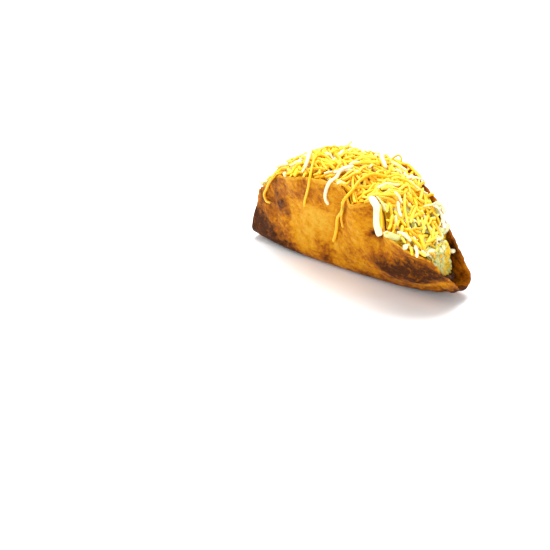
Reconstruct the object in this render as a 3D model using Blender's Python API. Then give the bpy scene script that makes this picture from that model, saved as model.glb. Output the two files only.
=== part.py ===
"""A crisp fried taco: a folded corn tortilla, ground beef, shredded lettuce and a heap of shredded cheese.

Frame: +X along the fold, towards the open end where the filling stops short; -Y the side that leans out;
+Z up. The origin is the middle of the flat spot under the fold that the taco rests on. Metres.
"""

import math
import random

import bmesh
import bpy
import numpy as np
from mathutils import Vector
from mathutils.bvhtree import BVHTree

# The tortilla: a round sheet, folded a little off its middle so that the near side is the longer one.
TORTILLA_RADIUS = 0.0745
TORTILLA_THICKNESS = 0.0019
FOLD_OFFSET = 0.0027
GRID_CELLS = 30

# The fold: flat strips either side of its line, then a turn up into each wall.
FLAT_NEAR = 0.0080
FLAT_FAR = 0.0060
TURN_LENGTH = 0.013
CLOSED_LIFT = 0.0032
OPEN_LIFT = 0.0070
LIFT_STARTS = 0.42
WALL_CURL = math.radians(-150.0)

# How far each wall leans out from upright, at even stations from the closed end to the open one.
NEAR_LEAN = [math.radians(a) for a in (-10.0, 8.0, 12.0, 26.0, 38.0)]
FAR_LEAN = [math.radians(a) for a in (6.0, 4.0, 14.0, 7.0, -22.0)]

# The filling, from the bottom up: how far up the walls each layer reaches, and where it ends along the fold.
SHEET_GAP = 0.0014
TUCK_GAP = 0.0012
LAYER_GAP = 0.0005
STATIONS = 24
STATION_REACH = (-0.88, 0.86)
BEEF_WALL, BEEF_DOME, BEEF_REACH = 0.40, 0.002, (-0.84, 0.87)
LETTUCE_WALL, LETTUCE_REACH = 0.80, (-0.88, 0.79)
CHEESE_WALL, CHEESE_REACH = 0.975, (-0.88, 0.79)
HEAP_DOME = 0.0108
HEAP_DOME_SHARES = (0.35, 0.75, 1.0, 0.80, 0.42, 0.20, 0.15)
LETTUCE_DOME_SHARE = 0.75
ROOF_CELLS = 7
WALL_CELLS = 2

# Shreds: cheese is grated square, lettuce is cut in flat strips.
SEED = 64
CHEESE_SECTION = (0.0020, 0.0017)
CHEESE_LENGTH = (0.020, 0.040)
CHEESE_SHREDS = 44
SUNK_ENDS = -0.0008
LETTUCE_SECTION = (0.0034, 0.0012)
LETTUCE_LENGTH = (0.016, 0.028)
LETTUCE_SHREDS = 10
SHRED_STEP = 0.0072
HANGING_STEP = 0.0052
CLEARANCE = 0.0004
SMALL = 1e-9


def smooth_step(x):
    """0 below 0, 1 above 1, and an S-curve between."""
    x = np.clip(x, 0.0, 1.0)
    return x * x * (3.0 - 2.0 * x)


def bump(x, middle, width):
    """A bell of height 1 at middle."""
    return np.exp(-(((x - middle) / width) ** 2))


def along_fold(values, share):
    """values, given at even stations from -1 to 1, read at share with a smooth curve."""
    stations = np.linspace(-1.0, 1.0, len(values))
    x = np.clip(share, -1.0, 1.0)
    cell = np.clip(np.searchsorted(stations, x, side="right") - 1, 0, len(values) - 2)
    v = np.asarray(values)
    padded = np.concatenate([[2 * v[0] - v[1]], v, [2 * v[-1] - v[-2]]])
    a, b, c, d = (padded[cell + k] for k in range(4))
    t = (x - stations[cell]) / (stations[1] - stations[0])
    return b + 0.5 * t * (c - a + t * (2 * a - 5 * b + 4 * c - d + t * (3 * (b - c) + d - a)))


def edge_growth(p, s):
    """How much longer than a true round the sheet is here: its rim dips at the crease and rises in a tab past it."""
    near = 0.034 * (1.0 - smooth_step((p - 0.003) / 0.008)) - 0.030 * bump(p, 0.0135, 0.0042)
    near = near + 0.034 * bump(p, 0.0240, 0.0072) + 0.030 * bump(p, 0.0460, 0.0060)
    near = near + 0.18 * smooth_step((p - 0.050) / 0.018) + 0.046 * bump(p, -0.0560, 0.0100)
    near = near + 0.25 * smooth_step((-p - 0.0600) / 0.0115)
    far = 0.040 * bump(p, -0.022, 0.018) - 0.075 * bump(p, 0.0580, 0.0075)
    return np.where(s < 0.0, near, far)


def ripple(p, s):
    """How far the fried sheet stands out from its plain bent form, along its outward normal."""
    share = p / TORTILLA_RADIUS
    up = np.clip(np.abs(s) / TORTILLA_RADIUS, 0.0, 1.0)
    near = smooth_step((-s - 0.012) / 0.02)
    far = smooth_step((s - 0.012) / 0.02)
    crease = -0.012 + 0.022 * up
    step = 1.0 / (1.0 + np.exp(-(p - crease) / 0.0027))
    lobe = 0.0062 * step * np.exp(-np.clip(p - crease, 0.0, None) / 0.030)
    valley = -0.0034 * bump(p, crease - 0.003, 0.008) * (0.3 + 0.7 * up)
    tuck = -0.0120 * bump(p, 0.0275, 0.0090) * smooth_step((up - 0.45) / 0.55)
    dent = -0.0026 * bump(p, 0.0250, 0.0055) * bump(s, -0.0515, 0.0055)
    belly = 0.0040 * bump(p, 0.043, 0.022) * bump(s, -0.026, 0.012)
    pinch = -0.0020 * bump(p, 0.048, 0.025) * bump(s, -0.045, 0.007)
    far_wave = 0.0022 * np.sin(9.0 * share + 0.8) * up
    fine = 0.0007 * np.sin(1.9 + 190.0 * p + 60.0 * s) * np.sin(0.4 - 80.0 * p + 170.0 * s)
    return near * (lobe * up + valley + tuck + dent + belly + pinch) + far * far_wave + (near + far) * fine


def bent_sheet(p, s):
    """The plain bent form at p along the fold and s across it: x, y and z."""
    share = p / TORTILLA_RADIUS
    side = np.where(s < 0.0, -1.0, 1.0)
    reach = np.abs(s)
    lean = np.where(s < 0.0, along_fold(NEAR_LEAN, share), along_fold(FAR_LEAN, share))
    flat = np.where(s < 0.0, FLAT_NEAR, FLAT_FAR) * (1.0 - 0.6 * share**2)
    upright = math.pi / 2 - lean
    steps = 30
    y = np.zeros_like(p)
    z = np.zeros_like(p)
    for k in range(steps):
        at = reach * (k + 0.5) / steps
        turned = np.clip((at - flat) / TURN_LENGTH, 0.0, 1.0)
        angle = upright * (1.0 - (1.0 - turned) ** 2)
        angle = angle + WALL_CURL * np.clip(at - flat - TURN_LENGTH, 0.0, None)
        y += np.cos(angle) * reach / steps
        z += np.sin(angle) * reach / steps
    lift = np.clip((np.abs(share) - LIFT_STARTS) / (1.0 - LIFT_STARTS), 0.0, 1.0)
    return np.stack([p, side * y, z + np.where(p < 0.0, CLOSED_LIFT, OPEN_LIFT) * lift**2], axis=-1)


def normals(form, p, s):
    """Outward unit normals of a form of (p, s)."""
    h = 4e-4
    along = form(p + h, s) - form(p - h, s)
    across = form(p, s + h) - form(p, s - h)
    n = np.cross(across, along)
    return n / np.maximum(np.linalg.norm(n, axis=-1, keepdims=True), SMALL)


def outer_sheet(p, s):
    """The tortilla's outer face."""
    return bent_sheet(p, s) + normals(bent_sheet, p, s) * ripple(p, s)[..., None]


def beside_sheet(p, s, out):
    """A point at distance out from the tortilla's outer face: negative is inside the fold."""
    p, s = np.asarray(p, float), np.asarray(s, float)
    return outer_sheet(p, s) + normals(outer_sheet, p, s) * np.asarray(out)[..., None]


def rim_reach(p, side):
    """How far the sheet runs from the fold at p, on the near side (-1) or the far side (+1)."""
    half = np.sqrt(np.maximum(TORTILLA_RADIUS**2 - np.asarray(p, float) ** 2, 0.0))
    return (half - side * FOLD_OFFSET) * (1.0 + edge_growth(p, side * half))


def material(name, colour, roughness):
    """A Principled BSDF of one colour."""
    made = bpy.data.materials.new(name)
    made.use_nodes = True
    shader = made.node_tree.nodes["Principled BSDF"]
    shader.inputs["Base Color"].default_value = (*colour, 1.0)
    shader.inputs["Roughness"].default_value = roughness
    return made


def add_object(name, bm, finish, smooth_angle=math.radians(40)):
    """A bmesh as an object in the scene, with its normals pointing out."""
    bmesh.ops.recalc_face_normals(bm, faces=bm.faces)
    mesh = bpy.data.meshes.new(name)
    bm.to_mesh(mesh)
    bm.free()
    mesh.shade_smooth()
    mesh.set_sharp_from_angle(angle=smooth_angle)
    obj = bpy.data.objects.new(name, mesh)
    if finish:
        obj.data.materials.append(finish)
    bpy.context.scene.collection.objects.link(obj)
    return obj


def disc_grid(cells):
    """Points of a square grid laid over a unit disc without creases at its rim: two arrays."""
    u, v = np.meshgrid(np.linspace(-1, 1, cells + 1), np.linspace(-1, 1, cells + 1), indexing="ij")
    wide = np.abs(u) > np.abs(v)
    r = np.where(wide, u, v)
    ratio = np.where(wide, v, u) / np.where(np.abs(r) < SMALL, 1.0, r)
    angle = ratio * math.pi / 4
    a, b = r * np.cos(angle), r * np.sin(angle)
    return np.where(wide, a, b), np.where(wide, b, a)


def make_tortilla(finish):
    """The folded tortilla: its outer face, made thick inwards."""
    p, s = disc_grid(GRID_CELLS)
    p, s = p * TORTILLA_RADIUS, s * TORTILLA_RADIUS - FOLD_OFFSET
    points = outer_sheet(p, s * (1.0 + edge_growth(p, s)))
    bm = bmesh.new()
    rows = [[bm.verts.new(point) for point in row] for row in points]
    for i in range(GRID_CELLS):
        for j in range(GRID_CELLS):
            a, b, c, d = rows[i][j], rows[i][j + 1], rows[i + 1][j + 1], rows[i + 1][j]
            if (i < GRID_CELLS / 2) == (j < GRID_CELLS / 2):
                bm.faces.new((a, b, c))
                bm.faces.new((a, c, d))
            else:
                bm.faces.new((a, b, d))
                bm.faces.new((b, c, d))
    mesh = bpy.data.meshes.new("tortilla")
    bm.to_mesh(mesh)
    bm.free()
    mesh.shade_smooth()
    obj = bpy.data.objects.new("tortilla", mesh)
    obj.data.materials.append(finish)
    bpy.context.scene.collection.objects.link(obj)
    thick = obj.modifiers.new("thickness", "SOLIDIFY")
    thick.thickness = TORTILLA_THICKNESS
    thick.offset = -1.0
    thick.use_even_offset = True
    return obj


def wall_point(p, side, share):
    """A point just inside the wall on one side, at a share of the way from the fold to the rim."""
    reach = rim_reach(p, side) * share
    inside = SHEET_GAP + (TUCK_GAP * bump(p, 0.0290, 0.0060) if side < 0.0 else 0.0)
    return beside_sheet(p, side * reach, -TORTILLA_THICKNESS - inside * np.ones_like(reach))


def heap_dome(p):
    """How far the heap stands above the line between the two rims."""
    return HEAP_DOME * along_fold(HEAP_DOME_SHARES, p / TORTILLA_RADIUS)


def roof_point(p, u, wall, dome, raised=0.0):
    """A layer's top at p: u runs from 0 at the near wall to 1 at the far one."""
    p = np.broadcast_to(np.asarray(p, float), np.shape(u))
    near, far = wall_point(p, -1.0, wall), wall_point(p, 1.0, wall)
    arch = dome * (4.0 * u * (1.0 - u)) ** 0.75
    lumps = 0.0012 * np.sin(330.0 * p + 9.0 * u) * np.sin(14.0 * u - 210.0 * p) * np.sin(math.pi * u)
    point = near + (far - near) * u[..., None]
    point[..., 2] += arch + lumps + raised
    return point


def layer(reach, low_wall, low_dome, top_wall, top_dome):
    """One layer of the filling: rings across the fold, from one end of the layer to the other."""
    stations = np.linspace(*STATION_REACH, STATIONS)
    stations = stations[(stations >= reach[0] - SMALL) & (stations <= reach[1] + SMALL)]
    u = np.linspace(0.0, 1.0, ROOF_CELLS + 1)
    rings = []
    for share in stations:
        p = np.full_like(u, share * TORTILLA_RADIUS)
        top = roof_point(p, u, top_wall, top_dome(p))
        climb = np.linspace(0.0, 1.0, WALL_CELLS + 2)[1:-1]
        if low_wall is None:
            reach_far, reach_near = rim_reach(p[0], 1.0) * top_wall, rim_reach(p[0], -1.0) * top_wall
            s = np.linspace(-reach_near, reach_far, 2 * WALL_CELLS + ROOF_CELLS)[1:-1]
            under = beside_sheet(np.full_like(s, p[0]), s, np.full_like(s, -TORTILLA_THICKNESS - SHEET_GAP))
            ring = np.concatenate([under, top[::-1]])
        else:
            low = roof_point(p, u, low_wall, low_dome(p), LAYER_GAP)
            walls = [
                np.stack([wall_point(p[0], side, low_wall + (top_wall - low_wall) * c) for c in climb])
                for side in (-1.0, 1.0)
            ]
            ring = np.concatenate([low, walls[1], top[::-1], walls[0][::-1]])
        rings.append(ring)
    for end, outward in ((0, -0.0015), (-1, 0.0015)):
        ring = rings[end]
        middle = ring.mean(axis=0)
        shrunk = middle + (ring - middle) * 0.86
        shrunk[:, 0] = ring[:, 0] * 0.35 + middle[0] * 0.65 + outward
        rings.insert(0 if end == 0 else len(rings), shrunk)
    bm = bmesh.new()
    verts = [[bm.verts.new(point) for point in ring] for ring in rings]
    for first, second in zip(verts, verts[1:]):
        for j in range(len(first)):
            k = (j + 1) % len(first)
            bm.faces.new((first[j], second[j], second[k], first[k]))
    bm.faces.new(verts[0])
    bm.faces.new(verts[-1][::-1])
    bmesh.ops.triangulate(bm, faces=bm.faces)
    bmesh.ops.recalc_face_normals(bm, faces=bm.faces)
    return bm


def evaluated_tree(obj):
    """A search tree over an object's final triangles."""
    return BVHTree.FromObject(obj, bpy.context.evaluated_depsgraph_get())


def pushed_clear(points, trees, room, rounds=10):
    """The path's points moved until each is at least room away from the given surfaces."""
    points = [Vector(point) for point in points]
    for turn in range(rounds):
        moved = False
        for tree in trees:
            for i, point in enumerate(points):
                place, normal, _, distance = tree.find_nearest(point)
                away = point - place
                outside = away.dot(normal) >= 0.0
                if outside and distance >= room:
                    continue
                direction = away.normalized() if outside and distance > 1e-6 else normal
                points[i] = place + direction * (room + 5e-5)
                moved = True
        if not moved:
            break
        if turn > rounds // 2:
            continue
        points = [
            point if i in (0, len(points) - 1) else point * 0.6 + (points[i - 1] + points[i + 1]) * 0.2
            for i, point in enumerate(points)
        ]
    return points


def strip(points, section, twist):
    """A closed bar of rectangular section along a path, as a bmesh."""
    path = [Vector(point) for point in points]
    bm = bmesh.new()
    rings = []
    side = None
    for i, point in enumerate(path):
        along = (path[min(i + 1, len(path) - 1)] - path[max(i - 1, 0)]).normalized()
        guess = Vector((0, 0, 1)) if side is None else side
        side = (guess - along * guess.dot(along)).normalized()
        across = along.cross(side)
        turn = twist * i / (len(path) - 1)
        wide = across * math.cos(turn) + side * math.sin(turn)
        thin = side * math.cos(turn) - across * math.sin(turn)
        narrow = 0.72 if i in (0, len(path) - 1) else 1.0
        half_wide, half_thin = wide * section[0] / 2 * narrow, thin * section[1] / 2 * narrow
        corners = (half_wide + half_thin, half_thin - half_wide, -half_wide - half_thin, half_wide - half_thin)
        rings.append([bm.verts.new(point + corner) for corner in corners])
    for first, second in zip(rings, rings[1:]):
        for j in range(4):
            k = (j + 1) % 4
            bm.faces.new((first[j], second[j], second[k], first[k]))
    bm.faces.new(rings[0])
    bm.faces.new(rings[-1][::-1])
    bmesh.ops.recalc_face_normals(bm, faces=bm.faces)
    bmesh.ops.triangulate(bm, faces=bm.faces)
    return bm


def is_clear(bm, trees):
    """Whether a bar keeps its clearance from the given surfaces, tested along its edges."""
    for edge in bm.edges:
        first, second = (vert.co for vert in edge.verts)
        for k in range(5):
            point = first.lerp(second, k / 4)
            for tree in trees:
                place, normal, _, distance = tree.find_nearest(point)
                if distance < CLEARANCE or (point - place).dot(normal) < 0.0:
                    return False
    return True


def heap_lines():
    """Where the heap meets each wall, along the fold: stations, near points and far points."""
    p = np.linspace(*STATION_REACH, 60) * TORTILLA_RADIUS
    return p, wall_point(p, -1.0, CHEESE_WALL), wall_point(p, 1.0, CHEESE_WALL)


def heap_path(rng, lines, reach, length, lift):
    """A wavy path lying on the heap, or None where it would leave it."""
    stations, near, far = lines
    p = rng.uniform(reach[0], reach[1]) * TORTILLA_RADIUS
    u = rng.uniform(0.02, 0.98)
    heading = rng.uniform(0.0, 2.0 * math.pi)
    bend = rng.uniform(-60.0, 60.0)
    points = []
    count = max(4, round(length / SHRED_STEP))
    for k in range(count + 1):
        if not reach[0] * TORTILLA_RADIUS < p < reach[1] * TORTILLA_RADIUS or not -0.12 < u < 1.12:
            break
        first = Vector([float(np.interp(p, stations, near[:, axis])) for axis in range(3)])
        last = Vector([float(np.interp(p, stations, far[:, axis])) for axis in range(3)])
        width = max((last - first).length, 0.01)
        held = min(max(u, 0.0), 1.0)
        point = first.lerp(last, u)
        point.z += float(heap_dome(np.array(p))) * (4.0 * held * (1.0 - held)) ** 0.75
        point.z += SUNK_ENDS + (lift - SUNK_ENDS) * min(1.0, 1.6 * math.sin(math.pi * k / count))
        points.append(point)
        heading += bend * SHRED_STEP + rng.uniform(-0.15, 0.15)
        p += math.cos(heading) * SHRED_STEP
        u += math.sin(heading) * SHRED_STEP / width
    return points if len(points) >= 4 else None


def hanging_path(side, start, drop, drift, inside=0.010):
    """A path that leaves the heap, goes over a rim at start and hangs down the outside for drop."""
    rim = float(rim_reach(np.array(start), side))
    points = []
    for above, out in ((0.0046, -inside), (0.0046, -0.0045), (0.0038, -0.0005), (0.0014, 0.0019)):
        points.append(Vector(beside_sheet(np.array(start), np.array(side * (rim + above)), np.array(out))))
    steps = max(3, round(drop / HANGING_STEP))
    for k in range(1, steps + 1):
        down = drop * k / steps
        p = start + drift * (down / drop) ** 1.3
        reach = side * (float(rim_reach(np.array(p), side)) - down)
        points.append(Vector(beside_sheet(np.array(p), np.array(reach), np.array(0.0021))))
    return points


def fused(core, bars, name, finish):
    """The core with every bar joined on, as one closed body."""
    body = add_object(name, core, finish)
    group = bpy.data.collections.new(name + "_pieces")
    bpy.context.scene.collection.children.link(group)
    for index, bar in enumerate(bars):
        piece = add_object(f"{name}_piece_{index}", bar, finish)
        bpy.context.scene.collection.objects.unlink(piece)
        group.objects.link(piece)
    join = body.modifiers.new("join", "BOOLEAN")
    join.operation = "UNION"
    join.solver = "MANIFOLD"
    join.operand_type = "COLLECTION"
    join.collection = group
    with bpy.context.temp_override(object=body, active_object=body, selected_objects=[body]):
        bpy.ops.object.modifier_apply(modifier=join.name)
    for piece in list(group.objects):
        bpy.data.objects.remove(piece)
    bpy.data.collections.remove(group)
    keep_largest(body.data)
    return body


def keep_largest(mesh):
    """Drops every closed surface but the largest: loose scraps, and hollows sealed inside."""
    bm = bmesh.new()
    bm.from_mesh(mesh)
    bmesh.ops.triangulate(bm, faces=bm.faces)
    seen = set()
    surfaces = []
    for face in bm.faces:
        if face in seen:
            continue
        surface = {face}
        front = [face]
        while front:
            for edge in front.pop().edges:
                for other in edge.link_faces if len(edge.link_faces) == 2 else ():
                    if other not in surface:
                        surface.add(other)
                        front.append(other)
        seen |= surface
        surfaces.append(surface)
    largest = max(surfaces, key=len)
    bmesh.ops.delete(bm, geom=[face for face in bm.faces if face not in largest], context="FACES")
    bm.to_mesh(mesh)
    bm.free()


def clear_bars(paths, section, trees, rng):
    """Bars along the paths, moved clear of the surfaces; those that can't be are left out."""
    bars = []
    room = math.hypot(*section) / 2 + CLEARANCE * 1.6
    for path in paths:
        if not path:
            continue
        bar = strip(pushed_clear(path, trees, room), section, rng.uniform(-0.8, 0.8))
        if is_clear(bar, trees):
            bars.append(bar)
        else:
            bar.free()
    return bars


def cheese_core():
    """The packed body of the cheese heap, without its loose shreds."""
    return layer(CHEESE_REACH, LETTUCE_WALL, lettuce_dome, CHEESE_WALL, heap_dome)


def make_lettuce(finish, trees):
    """Shredded lettuce: a packed layer, with strips out past the cheese at the open end and over the far rim."""
    rng = random.Random(SEED)
    core = layer(LETTUCE_REACH, BEEF_WALL, lambda p: BEEF_DOME, LETTUCE_WALL, lettuce_dome)
    paths = []
    end = LETTUCE_REACH[1] * TORTILLA_RADIUS
    for k in range(LETTUCE_SHREDS):
        u, wall = rng.uniform(0.15, 0.85), rng.uniform(0.52, 0.78)
        start = Vector(roof_point(end, np.array([u]), wall, lettuce_dome(np.array([end])), -0.001)[0])
        heading, rise = rng.uniform(-0.9, 0.9), rng.uniform(-1.3, 0.1)
        length = rng.uniform(*LETTUCE_LENGTH) * 0.5
        path = []
        for j in range(-2, 4):
            t = j * length / 5
            bow = 0.0020 * math.sin(2.2 * j + k)
            path.append(start + Vector((t * math.cos(rise), t * math.sin(heading) + bow, t * math.sin(rise))))
        paths.append(path)
    for place, drop, drift in ((0.765, 0.010, -0.003), (0.725, 0.013, -0.002), (0.80, 0.007, 0.003)):
        seat = Vector(roof_point(end, np.array([0.86]), 0.76, lettuce_dome(np.array([end])), -0.001)[0])
        over = hanging_path(1.0, place * TORTILLA_RADIUS, drop, drift, 0.004)
        paths.append([seat, (seat + over[0]) / 2 + Vector((0.003, 0.0, 0.001))] + over)
    bars = clear_bars(paths, LETTUCE_SECTION, trees, rng)
    print("lettuce strips", len(bars), "of", len(paths))
    return fused(core, bars, "lettuce", finish)


def lettuce_dome(p):
    """How far the lettuce stands above the line between its two walls."""
    return heap_dome(p) * LETTUCE_DOME_SHARE


def make_cheese(finish, trees):
    """Shredded cheese: the heap over the mouth, with shreds lying on it and hanging over both rims."""
    rng = random.Random(SEED + 1)
    hanging = (
        (-1.0, -0.0520, 0.016, -0.004),
        (-1.0, -0.0350, 0.013, 0.001),
        (-1.0, -0.0190, 0.021, 0.001),
        (-1.0, -0.0060, 0.018, -0.003),
        (-1.0, 0.0130, 0.032, -0.014),
        (-1.0, 0.0270, 0.010, -0.002),
        (-1.0, 0.0330, 0.012, 0.004),
        (1.0, -0.0400, 0.014, -0.004),
        (1.0, -0.0220, 0.022, 0.005),
        (1.0, -0.0010, 0.012, -0.003),
        (1.0, 0.0160, 0.024, 0.006),
        (1.0, 0.0340, 0.010, -0.002),
    )
    paths = [hanging_path(*values) for values in hanging]
    lines = heap_lines()
    while len(paths) < CHEESE_SHREDS * 3:
        length = rng.uniform(*CHEESE_LENGTH)
        paths.append(heap_path(rng, lines, CHEESE_REACH, length, rng.uniform(0.0010, 0.0024)))
    bars = clear_bars(paths, CHEESE_SECTION, trees, rng)[:CHEESE_SHREDS]
    print("cheese shreds", len(bars))
    return fused(cheese_core(), bars, "cheese", finish)


def main():
    for old in list(bpy.data.objects):
        bpy.data.objects.remove(old)
    corn = material("fried corn tortilla", (0.78, 0.46, 0.13), 0.55)
    beef = material("browned ground beef", (0.13, 0.06, 0.03), 0.5)
    leaf = material("shredded lettuce", (0.62, 0.72, 0.30), 0.4)
    cheese = material("shredded cheese", (0.95, 0.68, 0.12), 0.45)
    shell = make_tortilla(corn)
    filling = add_object(
        "beef", layer(BEEF_REACH, None, None, BEEF_WALL, lambda p: BEEF_DOME), beef
    )
    trees = [evaluated_tree(shell), evaluated_tree(filling)]
    core = cheese_core()
    lettuce = make_lettuce(leaf, [*trees, BVHTree.FromBMesh(core)])
    core.free()
    trees.append(evaluated_tree(lettuce))
    make_cheese(cheese, trees)


main()
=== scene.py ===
"""The looks of a crisp fried taco: a blistered corn tortilla, beef, shredded lettuce and a heap of grated cheese.

Metres, in the frame of the part: +X along the fold towards the open end, -Y the side that leans out, +Z up.
"""

import logging
import math
import random
from collections.abc import Callable
from dataclasses import dataclass, field
from enum import Enum

import bmesh
import bpy
import numpy as np
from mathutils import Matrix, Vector


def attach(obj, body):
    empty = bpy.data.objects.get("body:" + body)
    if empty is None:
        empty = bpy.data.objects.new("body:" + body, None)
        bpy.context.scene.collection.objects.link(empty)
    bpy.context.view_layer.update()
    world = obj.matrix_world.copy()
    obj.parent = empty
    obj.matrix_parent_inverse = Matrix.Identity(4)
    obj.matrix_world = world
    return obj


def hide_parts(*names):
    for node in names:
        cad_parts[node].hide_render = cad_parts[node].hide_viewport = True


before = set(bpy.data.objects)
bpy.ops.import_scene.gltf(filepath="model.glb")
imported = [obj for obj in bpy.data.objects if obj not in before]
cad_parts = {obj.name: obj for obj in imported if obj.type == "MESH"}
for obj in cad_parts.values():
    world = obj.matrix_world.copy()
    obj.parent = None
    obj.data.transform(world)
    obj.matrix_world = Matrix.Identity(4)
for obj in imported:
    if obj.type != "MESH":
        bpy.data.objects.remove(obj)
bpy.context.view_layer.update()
LOG = logging.getLogger("taco")
Array = np.ndarray
Colour = tuple[float, float, float]
Places = list[tuple[float, float, float]]
NOISE_PRIMES = (374761393, 668265263, 2147483647, 974634777, 1274126177)


def smooth_step(x: Array | float) -> Array:
    """An S-curve: 0 below 0, 1 above 1."""
    x = np.clip(x, 0.0, 1.0)
    return x * x * (3.0 - 2.0 * x)


def bump(x: Array | float, middle: Array | float, width: float) -> Array:
    """A bell of height 1 at middle."""
    return np.exp(-(((x - middle) / width) ** 2))


def along_fold(values: tuple[float, ...], share: Array | float) -> Array:
    """Reads evenly spaced values with a smooth curve.

    Args:
        values: the values, at even stations from the closed end (-1) to the open end (1).
        share: where to read them.

    Returns:
        The values at share.
    """
    stations = np.linspace(-1.0, 1.0, len(values))
    x = np.clip(share, -1.0, 1.0)
    cell = np.clip(np.searchsorted(stations, x, side="right") - 1, 0, len(values) - 2)
    v = np.asarray(values)
    padded = np.concatenate([[2 * v[0] - v[1]], v, [2 * v[-1] - v[-2]]])
    a, b, c, d = (padded[cell + k] for k in range(4))
    t = (x - stations[cell]) / (stations[1] - stations[0])
    return b + 0.5 * t * (c - a + t * (2 * a - 5 * b + 4 * c - d + t * (3 * (b - c) + d - a)))


def value_noise(points: Array, scale: float, seed: int) -> Array:
    """Smooth noise in space, about -1 to 1.

    Args:
        points: places, any shape with three columns last, in metres.
        scale: the size of one lump, in metres.
        seed: picks the noise.

    Returns:
        One number per place.
    """
    q = np.asarray(points) / scale
    cell = np.floor(q).astype(np.int64)
    part = smooth_step(q - cell)
    total = np.zeros(q.shape[:-1])
    for corner in range(8):
        step = np.array([corner & 1, corner >> 1 & 1, corner >> 2 & 1])
        at = cell + step
        mixed = at @ np.array(NOISE_PRIMES[:3]) + seed * NOISE_PRIMES[3]
        mixed = (mixed ^ (mixed >> 13)) * NOISE_PRIMES[4]
        number = ((mixed ^ (mixed >> 16)) & 0xFFFF) / 32767.5 - 1.0
        weight = np.prod(np.where(step, part, 1.0 - part), axis=-1)
        total += number * weight
    return total


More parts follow.
